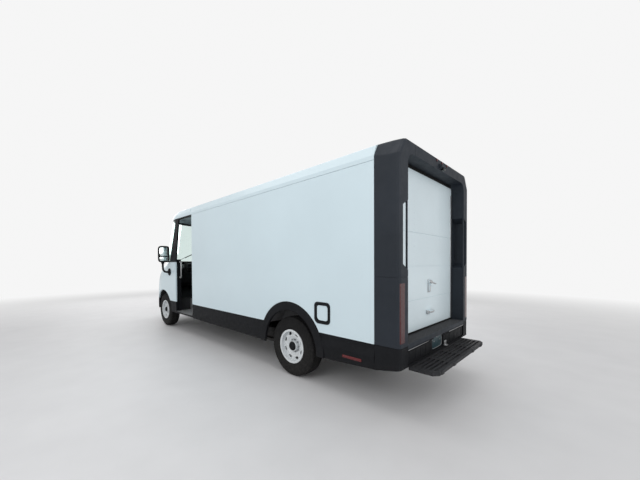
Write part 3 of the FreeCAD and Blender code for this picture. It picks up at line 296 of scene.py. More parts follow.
# ================================================================ shapes
class Shape:
    """Collects rounded blocks, turned rods, swept tubes and grids into one mesh."""

    def __init__(self):
        self.points, self.faces = [], []

    def add(self, points, faces):
        base = len(self.points)
        self.points += [Vector(p) for p in points]
        self.faces += [[base + i for i in face] for face in faces]
        return self

    def block(self, low, high, edge=0.003, segments=2, turn=None):
        """A box between two corners with rounded edges, turned about its centre if asked."""
        low, high = Vector(low), Vector(high)
        size, middle = high - low, (low + high) / 2
        mesh = bmesh.new()
        bmesh.ops.create_cube(mesh, size=1.0)
        bmesh.ops.scale(mesh, vec=size, verts=mesh.verts)
        width = min(edge, min(size) * 0.45)
        bmesh.ops.bevel(mesh, geom=list(mesh.edges), offset=width, segments=segments, profile=0.5,
                        affect="EDGES")
        matrix = Matrix.Translation(middle) @ (turn.to_4x4() if turn else Matrix.Identity(4))
        bmesh.ops.transform(mesh, matrix=matrix, verts=mesh.verts)
        mesh.verts.index_update()
        self.add([v.co.copy() for v in mesh.verts], [[v.index for v in f.verts] for f in mesh.faces])
        mesh.free()
        return self

    def turned(self, start, axis, profile, sides=24, phase=0.0):
        """A surface turned about an axis; profile is (distance along the axis, radius) pairs."""
        start, axis = Vector(start), Vector(axis).normalized()
        across = axis.orthogonal().normalized()
        other = axis.cross(across)
        rings, points, faces = [], [], []
        for along, radius in profile:
            if radius < 1e-6:
                rings.append([len(points)])
                points.append(start + axis * along)
                continue
            rings.append(list(range(len(points), len(points) + sides)))
            for k in range(sides):
                a = phase + 2 * math.pi * k / sides
                points.append(start + axis * along + (across * math.cos(a) + other * math.sin(a)) * radius)
        for one, two in zip(rings, rings[1:]):
            for k in range(sides):
                j = (k + 1) % sides
                if len(one) == 1 and len(two) == 1:
                    continue
                if len(one) == 1:
                    faces.append([one[0], two[j], two[k]])
                elif len(two) == 1:
                    faces.append([one[k], one[j], two[0]])
                else:
                    faces.append([one[k], one[j], two[j], two[k]])
        return self.add(points, faces)

    def rod(self, start, end, radius, edge=0.0015, sides=16, phase=0.0):
        length = (Vector(end) - Vector(start)).length
        edge = min(edge, radius * 0.6, length * 0.4)
        profile = [(0, 0), (0, radius - edge), (edge, radius), (length - edge, radius),
                   (length, radius - edge), (length, 0)]
        return self.turned(start, Vector(end) - Vector(start), profile, sides, phase)

    def dome(self, foot, axis, radius, height, sides=10):
        arc = [(height * math.sin(a), radius * math.cos(a)) for a in (0.0, 0.5, 1.0, 1.3)]
        return self.turned(foot, axis, [(-0.0005, 0), (-0.0005, radius)] + arc + [(height, 0)], sides)

    def bolt(self, foot, axis, radius, height, sides=6):
        """A hexagon head on a washer."""
        axis = Vector(axis).normalized()
        self.turned(foot, axis, [(0, 0), (0, radius * 1.5), (height * 0.2, radius * 1.45),
                                 (height * 0.22, 0)], 16)
        profile = [(0.1 * height, 0), (0.1 * height, radius), (height * 0.85, radius),
                   (height, radius * 0.8), (height, 0)]
        return self.turned(foot, axis, profile, sides)

    def tube(self, path, radius, sides=12, closed=False, flatten=1.0):
        """A tube along the points, capped unless closed; flatten narrows it across its path."""
        path = [Vector(p) for p in path]
        count = len(path)
        normal = None
        points, faces = [], []
        for i, here in enumerate(path):
            ahead = path[(i + 1) % count] if closed or i + 1 < count else here
            behind = path[i - 1] if closed or i else here
            along = (ahead - behind).normalized()
            if normal is None:
                normal = along.orthogonal().normalized()
            normal = (normal - along * normal.dot(along)).normalized()
            other = along.cross(normal)
            for k in range(sides):
                a = 2 * math.pi * k / sides
                points.append(here + normal * (radius * math.cos(a)) + other * (radius * flatten * math.sin(a)))
        spans = count if closed else count - 1
        for i in range(spans):
            for k in range(sides):
                j, n = (k + 1) % sides, (i + 1) % count
                faces.append([i * sides + k, i * sides + j, n * sides + j, n * sides + k])
        if not closed:
            faces.append(list(range(sides))[::-1])
            faces.append([(count - 1) * sides + k for k in range(sides)])
        return self.add(points, faces)

    def mirrored(self):
        """Adds the same again on the other side of the vehicle."""
        flipped = [Vector((-p.x, p.y, p.z)) for p in self.points]
        return self.add(flipped, [list(reversed(face)) for face in self.faces])

    def make(self, name, material, body="van", slot=None, replaces=(), sharp=40):
        mesh = bpy.data.meshes.new(name)
        mesh.from_pydata(self.points, [], self.faces)
        mesh.validate()
        tidy = bmesh.new()
        tidy.from_mesh(mesh)
        bmesh.ops.recalc_face_normals(tidy, faces=tidy.faces)
        tidy.to_mesh(mesh)
        tidy.free()
        for face in mesh.polygons:
            face.use_smooth = True
        mesh.set_sharp_from_angle(angle=math.radians(sharp))
        mesh.materials.append(material)
        piece = bpy.data.objects.new(name, mesh)
        bpy.context.scene.collection.objects.link(piece)
        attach(piece, body)
        if replaces:
            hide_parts(*replaces)
        return piece


def rounded_loop(middle, half_x, half_z, power, count=80):
    """Points round a rounded rectangle that stands in the XZ plane."""
    points = []
    for k in range(count):
        a = 2 * math.pi * k / count
        c, s = math.cos(a), math.sin(a)
        points.append(middle + Vector((half_x * math.copysign(abs(c) ** power, c), 0,
                                       half_z * math.copysign(abs(s) ** power, s))))
    return points


def surface_of(*names):
    """A ray caster on CAD nodes: (origin, direction) to (point, normal)."""
    points, faces = [], []
    for name in names:
        base = len(points)
        mesh = nodes[name].data
        points += [v.co.copy() for v in mesh.vertices]
        faces += [[base + i for i in p.vertices] for p in mesh.polygons]
    tree = BVHTree.FromPolygons(points, faces)

    def hit(origin, direction):
        place, normal, _, _ = tree.ray_cast(Vector(origin), Vector(direction).normalized())
        if normal is not None and normal.dot(Vector(direction)) > 0:
            normal = -normal
        return place, normal

    return hit


# ================================================================ wheels
TYRE_LOW, TYRE_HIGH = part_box("tyre_rear_left")
TYRE_R = (TYRE_HIGH.z - TYRE_LOW.z) / 2 - 0.0003
TYRE_HALF = (TYRE_HIGH.x - TYRE_LOW.x) / 2 - 0.0003
PITCHES, STEPS = 68, 4
SIDEWALL = [
    (0.085, 0.217), (0.094, 0.222), (0.1035, 0.232), (0.110, 0.246), (0.1115, 0.252), (0.1135, 0.258),
    (0.1130, 0.262), (0.1155, 0.280), (0.1165, 0.300), (0.1158, 0.318), (0.1162, 0.322), (0.1150, 0.327),
    (0.1130, 0.342), (0.1145, 0.348), (0.1125, 0.354), (0.1085, 0.366),
]
SHOULDER = [(0.1035, 0.380), (0.0975, 0.391), (0.0905, 0.3985)]
TREAD = [0.082, 0.072, 0.0625, 0.0600, 0.0575, 0.0505, 0.0480, 0.0455, 0.036, 0.026, 0.0235, 0.0205,
         0.0180, 0.010, 0.0]
GROOVES = ((0.0540, 0.0050), (0.0220, 0.0040))


def tread_height(across, step):
    """Radius of the tread at that distance from the middle; step counts quarter pitches."""
    crown = TYRE_R - 0.0030 * (across / 0.09) ** 2
    for middle, width in GROOVES:
        if abs(abs(across) - middle) < width:
            return crown - 0.0085
    if abs(across) > 0.060 and step % STEPS == 0:
        return crown - 0.0070
    if abs(across) < 0.050 and (step + (2 if across > 0 else 0)) % STEPS == 0 and abs(across) > 0.026:
        return crown - 0.0045
    return crown


def tyre_mesh(middle):
    sides = PITCHES * STEPS
    half = SIDEWALL + SHOULDER
    across = [(x, r, False) for x, r in half] + [(x, 0, True) for x in TREAD]
    across += [(-x, 0, True) for x in reversed(TREAD[:-1])] + [(-x, r, False) for x, r in reversed(half)]
    points, faces = [], []
    for step in range(sides):
        angle = 2 * math.pi * step / sides
        for i, (x, radius, tread) in enumerate(across):
            if tread:
                radius = tread_height(x, step)
            elif radius > 0.378 and step % STEPS == 0:
                radius -= 0.0045
            points.append((middle.x + x, middle.y + radius * math.cos(angle),
                           middle.z + radius * math.sin(angle)))
    count = len(across)
    for step in range(sides):
        following = (step + 1) % sides
        for i in range(count - 1):
            faces.append([step * count + i, step * count + i + 1, following * count + i + 1,
                          following * count + i])
        faces.append([step * count + count - 1, step * count, following * count,
                      following * count + count - 1])
    return Shape().add(points, faces)


for end in ("front", "rear"):
    for side_name, side in SIDES:
        wheel = f"{end}_{side_name}"
        hub = centre(f"tyre_{wheel}")
        body = f"wheel_{wheel}"
        tyre_mesh(hub).make(f"tread_tyre_{wheel}", RUBBER, body, "tyre", [f"tyre_{wheel}"], sharp=32)
        out = Vector((side, 0, 0))
        cap = Shape().turned(hub + out * 0.060, out, [
            (0.004, 0), (0.004, 0.066), (0.012, 0.067), (0.016, 0.064), (0.030, 0.060), (0.034, 0.056),
            (0.040, 0.054), (0.046, 0.047), (0.049, 0.036), (0.047, 0.030), (0.047, 0.0)], 40)
        cap.make(f"hub_cap_{wheel}", BLACK, body)
        nuts = Shape()
        for k in range(8):
            a = math.radians(45 * k)
            foot = hub + out * 0.0305 + Vector((0, math.cos(a), math.sin(a))) * 0.0795
            nuts.bolt(foot, out, 0.0105, 0.020)
            nuts.turned(foot, out, [(0.018, 0), (0.018, 0.0065), (0.026, 0.0065), (0.027, 0.005),
                                    (0.027, 0)], 12)
        nuts.make(f"wheel_nuts_{wheel}", STEEL, body)
        trim = Shape()
        a = math.radians(100)
        way = Vector((0, math.cos(a), math.sin(a)))
        trim.rod(hub + out * 0.068 + way * 0.196, hub + out * 0.100 + way * 0.186, 0.0045)
        trim.rod(hub + out * 0.098 + way * 0.1865, hub + out * 0.108 + way * 0.184, 0.0058)
        trim.make(f"valve_{wheel}", SEAL, body)

# ================================================================ running gear
for side_name, side in SIDES:
    wheel = centre(f"tyre_front_{side_name}")
    knuckle = f"upright_{side_name}"
    disc = Shape().turned((side * 0.846, wheel.y, wheel.z), (side, 0, 0), [
        (0, 0.06), (0, 0.149), (0.008, 0.150), (0.009, 0.146), (0.013, 0.146), (0.014, 0.150), (0.015,
                                                                                                0.06)], 56)
    disc.make(f"brake_disc_{side_name}", STEEL, knuckle)
    x0, x1 = sorted((side * 0.827, side * 0.869))
    caliper = Shape().block((x0, wheel.y + 0.075, wheel.z - 0.055),
                            (x1, wheel.y + 0.160, wheel.z + 0.065), 0.012, 3)
    caliper.make(f"brake_caliper_{side_name}", CAST, knuckle)
    spring, turns = [], 6.5
    top, foot = Vector((side * 0.50, wheel.y + 0.02, 0.640)), Vector((side * 0.60, wheel.y + 0.02, 0.350))
    along = foot - top
    u = along.orthogonal().normalized()
    w = along.normalized().cross(u)
    for k in range(int(turns * 18)):
        t = k / (turns * 18)
        a = 2 * math.pi * turns * t
        spring.append(top + along * t + (u * math.cos(a) + w * math.sin(a)) * 0.046)
    Shape().tube(spring, 0.0068, 8).make(f"coil_spring_{side_name}", CHASSIS, "van")
    Shape().rod(top, foot, 0.024, sides=24).rod(top - along * 0.04, top + along * 0.45, 0.030,
                                                sides=24).make(
        f"damper_{side_name}", CAST, "van")
    rear = centre(f"tyre_rear_{side_name}")
    clamps = Shape()
    for y in (-0.075, 0.075):
        for x in (0.458, 0.557):
            clamps.rod((side * x, rear.y + y, 0.335), (side * x, rear.y + y, 0.505), 0.007)
            clamps.bolt((side * x, rear.y + y, 0.333), (0, 0, -1), 0.011, 0.014)
    plate_x = sorted((side * 0.446, side * 0.569))
    clamps.block((plate_x[0], rear.y - 0.095, 0.333), (plate_x[1], rear.y + 0.095, 0.345), 0.004)
    clamps.make(f"spring_clamps_{side_name}", CAST, "van")

battery_low, battery_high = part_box("battery_pack")
ribs = Shape()
count = 9
for k in range(count):
    y = battery_low.y + 0.14 + (battery_high.y - battery_low.y - 0.28) * k / (count - 1)
    ribs.block((-0.66, y - 0.018, battery_low.z), (0.66, y + 0.018, battery_low.z + 0.012), 0.005)
    for x in (-0.715, 0.715):
        ribs.bolt((x, y, 0.330), (0, 0, 1), 0.008, 0.009)
ribs.make("battery_ribs", CHASSIS, "van")

# ================================================================ rear door
FACE = REAR - 0.162
SEAMS = (1.102, 1.498, 1.890)
fittings = Shape()
for column in (-0.70, -0.42, 0.0, 0.36, 0.70):
    levels = [0.80]
    while levels[-1] < 2.55:
        levels.append(levels[-1] + 0.066)
    for z in levels:
        if min(abs(z - seam) for seam in SEAMS) > 0.03 and not (abs(column) < 0.2 and 0.85 < z < 1.35):
            fittings.dome((column, FACE - 0.0002, z), (0, 1, 0), 0.0046, 0.0022)
fittings.make("door_rivets", PAINT_DOOR, "van")

guides = Shape()
opening_x = 0.832
for side in (-1, 1):
    inner, outer = sorted((side * opening_x, side * 0.866))
    guides.block((inner, FACE - 0.002, 0.724), (outer, FACE + 0.006, 2.50), 0.003)
guides.make("door_guides", BRUSHED, "van")
seal = Shape().block((-0.868, FACE - 0.004, 0.7205), (0.868, FACE + 0.009, 0.742), 0.006, 3)
seal.block((-0.868, FACE - 0.001, 2.602), (0.868, FACE + 0.0045, 2.638), 0.002)
seal.make("door_seals", SEAL, "van")

latch = Shape()
latch.block((-0.105, FACE - 0.001, 1.165), (-0.022, FACE + 0.006, 1.330), 0.004)
latch.turned((-0.060, FACE + 0.005, 1.296), (0, 1, 0), [
    (0, 0.033), (0.004, 0.034), (0.012, 0.031), (0.016, 0.024), (0.030, 0.022), (0.036, 0.020), (0.038,
                                                                                                 0.0)], 32)
for x, z in ((-0.096, 1.318), (-0.031, 1.318), (-0.096, 1.178), (-0.031, 1.178)):
    latch.dome((x, FACE + 0.0055, z), (0, 1, 0), 0.0055, 0.003, 14)
latch.block((-0.073, FACE + 0.004, 1.176), (-0.046, FACE + 0.022, 1.262), 0.006, 3)
handle = [(-0.060, FACE + 0.034, 1.296), (-0.095, FACE + 0.036, 1.286), (-0.150, FACE + 0.034, 1.274),
          (-0.205, FACE + 0.030, 1.266), (-0.222, FACE + 0.026, 1.264)]
latch.tube(handle, 0.0105, 14, flatten=0.6)
latch.make("door_latch", BRUSHED, "van")
grip = Shape()
for x in (-0.132, 0.012):
    grip.block((x - 0.013, FACE - 0.001, 0.900), (x + 0.013, FACE + 0.030, 0.944), 0.006, 3)
grip.tube([(-0.132 + 0.144 * t, FACE + 0.034 + 0.010 * math.sin(math.pi * t),
            0.926 - 0.004 * math.sin(math.pi * t))
           for t in [k / 12 for k in range(13)]], 0.0105, 14)
grip.make("door_pull", BRUSHED, "van")

# ================================================================ threshold, bumper and step
ridges = Shape()
for k in range(9):
    y = FACE + 0.022 + k * 0.0155
    ridges.block((-0.845, y - 0.0032, 0.7165), (0.845, y + 0.0032, 0.7215), 0.0012, 1)
ridges.block((-0.860, FACE + 0.010, 0.7168), (0.860, REAR - 0.006, 0.7192), 0.001, 1)
ridges.make("threshold_ridges", GRIP, "van")

strips = Shape()
for x0, x1 in ((0.35, 0.868), (-0.868, -0.30)):
    strips.block((x0, REAR - 0.004, 0.6520), (x1, REAR + 0.0022, 0.6575), 0.0012)
strips.make("bumper_strips", BRUSHED, "van")
face = Shape()
for x0, x1 in ((0.215, 0.872), (-0.872, -0.135)):
    face.block((x0, REAR - 0.026, 0.512), (x1, REAR - 0.014, 0.632), 0.006, 3)
    steps = 5
    for k in range(steps):
        x = x0 + (x1 - x0) * (k + 0.5) / steps
        face.block((x - 0.003, REAR - 0.0165, 0.520), (x + 0.003, REAR - 0.0115, 0.624), 0.001, 1)
face.make("bumper_inserts", BLACK, "van")

PLATE_X = 0.040
plate = Shape().block((PLATE_X - 0.1515, REAR - 0.0305, 0.5125),
                      (PLATE_X + 0.1515, REAR - 0.0285, 0.6535), 0.002)
plate.make("blank_plate", PLATE_BLANK, "van")
border = Shape()
border.tube(rounded_loop(Vector((PLATE_X, REAR - 0.0283, 0.583)), 0.147, 0.066, 0.3), 0.0020, 8,
            closed=True)
border.make("plate_border", BRUSHED, "van")
holders = Shape()
for x in (PLATE_X - 0.089, PLATE_X + 0.089):
    holders.bolt((x, REAR - 0.0284, 0.600), (0, 1, 0), 0.0058, 0.006)
holders.make("plate_screws", STEEL, "van")
lamp = Shape()
for x in (PLATE_X - 0.06, PLATE_X + 0.06):
    lamp.block((x - 0.028, REAR - 0.033, 0.6545), (x + 0.028, REAR - 0.006, 0.6615), 0.003)
lamp.make("plate_lamps", CLEAR_LENS, "van")
bracket = Shape().block((-0.225, REAR - 0.022, 0.500), (-0.158, REAR + 0.016, 0.506), 0.001)
bracket.block((-0.225, REAR - 0.012, 0.500), (-0.158, REAR - 0.008, 0.560), 0.001)
bracket.make("step_bracket", BRUSHED, "van")

step_low, step_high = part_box("rear_step")
teeth = Shape()
for row in range(6):
    y = REAR + 0.0115 + row * 0.045
    for k in range(62):
        x = step_low.x + 0.065 + k * (step_high.x - step_low.x - 0.13) / 61
        if y < step_high.y - 0.03:
            teeth.block((x - 0.0045, y - 0.0075, step_high.z - 0.0050),
                        (x + 0.0045, y + 0.0075, step_high.z - 0.0002), 0.0018, 1)
teeth.make("step_teeth", STEP_BLACK, "van")
caps = Shape()
for x in (-0.68, -0.33, 0.33, 0.68):
    for dx in (-0.018, 0.018):
        caps.dome((x + dx, step_high.y - 0.0022, 0.457), (0, 1, 0), 0.006, 0.0018, 12)
caps.make("step_screws", STEEL, "van")

# ================================================================ portal frame
marker = Shape()
pod = Shape()
hit_frame = surface_of("rear_frame")
for x in (-0.19, -0.03, 0.13):
    place, normal = hit_frame((x, REAR + 0.5, 2.735), (0, -1, 0))
    if place:
        pod.turned(place - normal * 0.004, normal, [(0, 0.0), (0, 0.021), (0.006, 0.020), (0.008, 0.016),
                                                    (0.008, 0)], 24)
        marker.turned(place - normal * 0.002, normal, [(0, 0.0), (0, 0.0145), (0.008, 0.0140),
                                                       (0.011, 0.009), (0.012, 0)], 20)
pod.make("marker_bases", BLACK, "van")
marker.make("marker_lenses", RED_BRIGHT, "van")
eye = Shape().block((-0.060, REAR + 0.002, 2.640), (0.000, REAR + 0.036, 2.668), 0.008, 3)
eye.turned((-0.030, REAR + 0.030, 2.652), (0, 0.8, -0.6), [
    (0, 0.0), (0, 0.0125), (0.004, 0.0125), (0.005, 0.0085), (0.003, 0.0085), (0.003, 0.0)], 24)
eye.make("rear_camera", GLOSS_BLACK, "van")
lens = Shape().dome((-0.030, REAR + 0.0325, 2.6495), (0, 0.8, -0.6), 0.0078, 0.003, 20)
lens.make("camera_lens", SCREEN, "van")

for side_name, side in SIDES:
    low_lamp = Shape()
    x0, x1 = sorted((side * 0.952, side * 1.018))
    low_lamp.block((x0, REAR - 0.030, 0.752), (x1, REAR - 0.0105, 0.792), 0.006, 3)
    low_lamp.make(f"reverse_lamp_{side_name}", CLEAR_LENS, "van")
    surround = Shape()
    for z in (1.3375, 0.7435):
        surround.block((x0 - 0.004, REAR - 0.032, z - 0.0035), (x1 + 0.004, REAR - 0.008, z + 0.0035),
                       0.002)
    for k in range(6):
        z = 0.80 + 0.105 * k
        surround.block((x0, REAR - 0.0145, z - 0.0012), (x1, REAR - 0.0095, z + 0.0012), 0.0005, 1)
    surround.make(f"lamp_surround_{side_name}", GLOSS_BLACK, "van")
    ends = Shape()
    for z in (1.487, 2.143):
        x = side * 0.8885
        ends.block((x - 0.0125, REAR - 0.019, z - 0.014), (x + 0.0125, REAR - 0.0012, z + 0.014), 0.004,
                   3)
        for dz in (-0.007, 0.007):
            ends.dome((x, REAR - 0.0014, z + dz), (0, 1, 0), 0.0042, 0.0012, 12)
    ends.make(f"handle_ends_{side_name}", CHARCOAL, "van")

# ================================================================ sides
for side_name, side in SIDES:
    hit_side = surface_of("side_skirts")
    x0, x1 = sorted((side * (HALF - 0.006), side * (HALF + 0.0045)))
    lights = Shape().block((x0, 2.874, 0.474), (x1, 3.124, 0.506), 0.004, 3)
    lights.make(f"side_marker_{side_name}", RED_BRIGHT, "van")
    clips = Shape()
    for k in range(14):
        y = -0.86 + 0.30 * k
        place, normal = hit_side((side * 1.5, y, 0.430), (-side, 0, 0))
        if place and abs(place.x) > 0.98:
            clips.turned(place - normal * 0.001, normal, [(0, 0), (0, 0.009), (0.0015, 0.0085),
                                                          (0.002, 0.004), (0.0012, 0)], 14)
    clips.make(f"skirt_clips_{side_name}", BLACK, "van")
    drip = Shape()
    rail = [(side * (HALF - 0.006), -1.02 - 0.085 * k, 2.596) for k in range(10)]
    drip.tube(rail, 0.0055, 10)
    drip.make(f"drip_rail_{side_name}", SEAL, "van")

port_low, port_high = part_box("charge_door")
port = Shape()
for z in (port_low.z + 0.045, port_high.z - 0.045):
    port.rod((HALF - 0.006, port_low.y - 0.0055, z - 0.017),
             (HALF - 0.006, port_low.y - 0.0055, z + 0.017), 0.0045)
port.make("charge_door_hinges", BLACK, "van")
press = Shape().turned((HALF - 0.0003, port_high.y - 0.022, (port_low.z + port_high.z) / 2), (1, 0, 0), [
    (0, 0.0095), (0.0003, 0.0090), (-0.0010, 0.0070), (-0.0012, 0.0)], 28)
press.make("charge_door_catch", PAINT, "port_flap")

# ================================================================ cab doors
for side_name, side in SIDES:
    door = f"door_{side_name}"
    glass_low, glass_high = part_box(f"cab_door_glass_{side_name}")
    low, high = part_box(f"cab_door_{side_name}")
    outer = side * 1.012
    lever = Shape()
    y = low.y + 0.11
    x0, x1 = sorted((side * 1.0125, side * 1.0160))
    lever.block((x0, y - 0.045, 1.150), (x1, y + 0.045, 1.310), 0.0015)
    lever.block(*[tuple(c) for c in zip(sorted((side * 1.0150, side * 1.0190)), (y - 0.012, y + 0.012),
                                        (1.168, 1.292))], 0.0018)
    lever.make(f"cab_door_handle_{side_name}", GLOSS_BLACK, door)
    rubber = Shape()
    inset = 0.008
    corners = [(glass_low.y + inset, glass_low.z + inset), (glass_low.y + 0.004 + inset, 1.66),
               (glass_low.y + 0.130 + inset, glass_high.z - inset), (glass_high.y - inset,
                                                                     glass_high.z - inset),
               (glass_high.y - inset, glass_low.z + inset)]
    path = []
    for i, here in enumerate(corners):
        here = Vector((0, *here))
        before = Vector((0, *corners[i - 1])) - here
        after = Vector((0, *corners[(i + 1) % 5])) - here
        reach = 0.05
        for t in (0.0, 0.25, 0.5, 0.75, 1.0):
            p = (here + before.normalized() * reach) * (1 - t) ** 2 + here * 2 * t * (1 - t) + (
                here + after.normalized() * reach) * t ** 2
            path.append((side * 1.0135, p.y, p.z))
    rubber.tube(path, 0.0055, 8, closed=True)
    rubber.make(f"window_seal_{side_name}", SEAL, door)
    bar = Shape()
    x = side * 0.940
    bar_y = -1.872
    bar.tube([(x, bar_y - 0.02, 1.235), (x, bar_y + 0.020, 1.245), (x, bar_y + 0.030, 1.27),
              (x, bar_y + 0.030, 1.42),
              (x, bar_y + 0.030, 1.57), (x, bar_y + 0.020, 1.595), (x, bar_y - 0.02, 1.605)], 0.0125, 14)
    for z in (1.238, 1.602):
        bar.turned((x, bar_y - 0.014, z), (0, 1, 0), [(0, 0.0), (0, 0.024), (0.006, 0.023),
                                                      (0.008, 0.014), (0.008, 0)], 24)
    bar.make(f"entry_handle_{side_name}", BRUSHED, "van")

# ================================================================ mirrors
MIRROR_LEAN = 6.0  # degrees that the glass is turned outwards
for side_name, side in SIDES:
    x0, x1 = 1.066, 1.322
    z0, z1 = 1.596, 1.984
    middle = Vector((side * (x0 + x1) / 2, -2.262, (z0 + z1) / 2))
    half = Vector(((x1 - x0) / 2, 0.070, (z1 - z0) / 2))
    points, faces = [], []
    columns = 40
    swells = [(-half.y + (half.y + 0.060) * k / 16, min(1.0, k / 10 + 0.03) ** 0.42) for k in range(17)]
    swells += [(0.0635, 0.985), (0.0640, 0.955), (0.0625, 0.925), (0.0580, 0.915), (0.0465, 0.915)]
    rows = len(swells) - 1
    for y, swell in swells:
        for k in range(columns):
            a = 2 * math.pi * k / columns
            c, s = math.cos(a), math.sin(a)
            u = math.copysign(abs(c) ** 0.42, c)
            v = math.copysign(abs(s) ** 0.36, s)
            points.append(middle + Vector((u * half.x * swell, y, v * half.z * swell)))
    for i in range(rows):
        for k in range(columns):
            j = (k + 1) % columns
            faces.append([i * columns + k, i * columns + j, (i + 1) * columns + j, (i + 1) * columns + k])
    faces.append(list(range(columns))[::-1])
    faces.append([rows * columns + k for k in range(columns)])
    housing = Shape().add(points, faces)
    x = side * 1.206
    housing.tube([(x, -2.268, 1.610), (x, -2.266, 1.50), (side * 1.200, -2.264, 1.42),
                  (side * 1.170, -2.262, 1.375),
                  (side * 1.120, -2.262, 1.362), (side * 1.062, -2.262, 1.360)], 0.030, 20, flatten=0.72)
    housing.turned((side * 1.0505, -2.262, 1.362), (side, 0, 0), [
        (0, 0), (0, 0.088), (0.010, 0.086), (0.020, 0.070), (0.030, 0.048), (0.034, 0.0)], 36)
    housing.turned((x, -2.267, 1.565), (0, 0, 1), [(0, 0.0), (0, 0.034), (0.006, 0.038), (0.030, 0.038),
                                                   (0.036, 0.033), (0.036, 0)], 28)
    extra = {"replaces": ["mirrors"]} if side > 0 else {}
    housing.make(f"mirror_housing_{side_name}", BLACK, "van", "trim_black", **extra)
    panes = Shape()
    for z, half_z in ((1.848, 0.098), (1.678, 0.046)):
        turn = Matrix.Rotation(math.radians(-side * MIRROR_LEAN), 3, "Z")
        seat = Vector((middle.x, middle.y + 0.0575, z))
        rim = rounded_loop(Vector(), 0.098, half_z, 0.36, 48)
        points = [seat + turn @ Vector((0, 0.0030, 0))]
        for share, rise in ((0.5, 0.0026), (0.9, 0.0010), (1.0, 0.0), (1.0, -0.003)):
            points += [seat + turn @ (p * share + Vector((0, rise, 0))) for p in rim]
        count = len(rim)
        faces = [[0, 1 + k, 1 + (k + 1) % count] for k in range(count)]
        for ring in range(3):
            for k in range(count):
                j, base = (k + 1) % count, 1 + ring * count
                faces.append([base + k, base + count + k, base + count + j, base + j])
        faces.append([1 + 3 * count + k for k in range(count)])
        panes.add(points, faces)
    extra = {"replaces": ["mirror_glass"]} if side > 0 else {}
    panes.make(f"mirror_panes_{side_name}", MIRROR, "van", "mirror", **extra)

# ================================================================ windscreen and front
hit_screen = surface_of("windshield")


def on_screen(x, z, lift=0.010):
    place, normal = hit_screen((x, -4.2, z), (0, 1, 0))
    return place + normal * lift if place else None


wipers = Shape()
for pivot_x, tip_x, tip_z in ((0.44, -0.20, 1.98), (-0.44, -0.92, 1.98)):
    arm = []
    for k in range(9):
        t = k / 8
        p = on_screen(pivot_x + (tip_x - pivot_x) * 0.62 * t, 1.648 + (tip_z - 1.648) * 0.62 * t,
                      0.026 - 0.008 * t)
        if p:
            arm.append(p)
    wipers.tube(arm, 0.0075, 10, flatten=0.6)
    blade = []
    for k in range(15):
        t = k / 14
        p = on_screen(pivot_x * 0.92 + (tip_x - pivot_x) * (0.16 + 0.84 * t),
                      1.668 + (tip_z - 1.668) * (0.16 + 0.84 * t), 0.008)
        if p:
            blade.append(p)
    wipers.tube(blade, 0.0065, 8)
    if arm:
        wipers.turned(arm[0] - Vector((0, 0, 0.006)), (0, -0.4, 0.9),
                      [(0, 0), (0, 0.020), (0.018, 0.018), (0.024, 0.010), (0.024, 0)], 20)
wipers.make("wipers", GLOSS_BLACK, "van")

hit_nose = surface_of("front_fascia", "front_bumper", "headlights", "hood", "cowl")


def on_nose(x, z, lift):
    place, normal = hit_nose((x, -4.6, z), (0, 1, 0))
    return (place + normal * lift, normal) if place else (None, None)


slats = Shape()
for z in (0.735, 0.775, 0.815, 0.855):
    run = [on_nose(-0.62 + 1.24 * k / 24, z, -0.0090)[0] for k in range(25)]
    run = [p for p in run if p]
    slats.tube(run, 0.008, 10, flatten=0.5)
slats.make("grille_slats", BLACK, "van")
frame_run = [on_nose(0.68 * c, 0.795 + 0.085 * s, -0.0092)[0]
             for c, s in [(math.copysign(abs(math.cos(a)) ** 0.35, math.cos(a)),
                           math.copysign(abs(math.sin(a)) ** 0.5, math.sin(a)))
                          for a in [2 * math.pi * k / 80 for k in range(80)]]]
Shape().tube([p for p in frame_run if p], 0.0085, 10, closed=True).make("grille_surround", GLOSS_BLACK,
                                                                        "van")

lamps = Shape()
rings = Shape()
for side in (-1, 1):
    for x in (0.56, 0.655, 0.75):
        p, normal = on_nose(side * x, 1.123, -0.030)
        if p:
            lamps.dome(p - normal * 0.002, normal, 0.027, 0.016, 28)
            rings.turned(p - normal * 0.012, normal, [
                (0, 0.0), (0, 0.036), (0.014, 0.038), (0.016, 0.035), (0.008, 0.028), (0.006, 0)], 32)
lamps.make("headlamp_projectors", SCREEN, "van")
rings.make("headlamp_bowls", REFLECTOR, "van")

tow = Shape()
p, normal = on_nose(0.52, 0.555, -0.003)
if p:
    tow.turned(p, normal, [(0, 0), (0, 0.030), (0.002, 0.031), (0.003, 0.028), (0.0015, 0.024),
                           (0.0015, 0)], 32)
tow.make("tow_cover", BLACK, "van")

hit_roof = surface_of("cab_roof")
front_markers, marker_pods = Shape(), Shape()
for x in (-0.62, -0.16, 0.0, 0.16, 0.62):
    place, normal = hit_roof((x, -4.0, 2.712), (0, 1, 0))
    if place:
        marker_pods.turned(place - normal * 0.006, normal, [(0, 0), (0, 0.034), (0.010, 0.031),
                                                            (0.012, 0.024), (0.012, 0)], 24)
        front_markers.turned(place - normal * 0.002, normal,
                             [(0, 0), (0, 0.022), (0.012, 0.021), (0.017, 0.013), (0.018, 0)], 24)
marker_pods.make("roof_marker_bases", BLACK, "van")
front_markers.make("roof_marker_lenses", AMBER, "van")

louvres = Shape()
for k in range(30):
    x = -0.60 + 1.20 * k / 29
    p, normal = hit_nose((x, -3.215, 2.2), (0, 0, -1))
    if p:
        louvres.block((x - 0.013, p.y - 0.016, p.z - 0.003), (x + 0.013, p.y + 0.016, p.z + 0.0012),
                      0.002, 1)
louvres.make("cowl_louvres", GLOSS_BLACK, "van")

# ================================================================ cab interior
seat_low, seat_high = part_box("driver_seat")
seat_x = (seat_low.x + seat_high.x) / 2


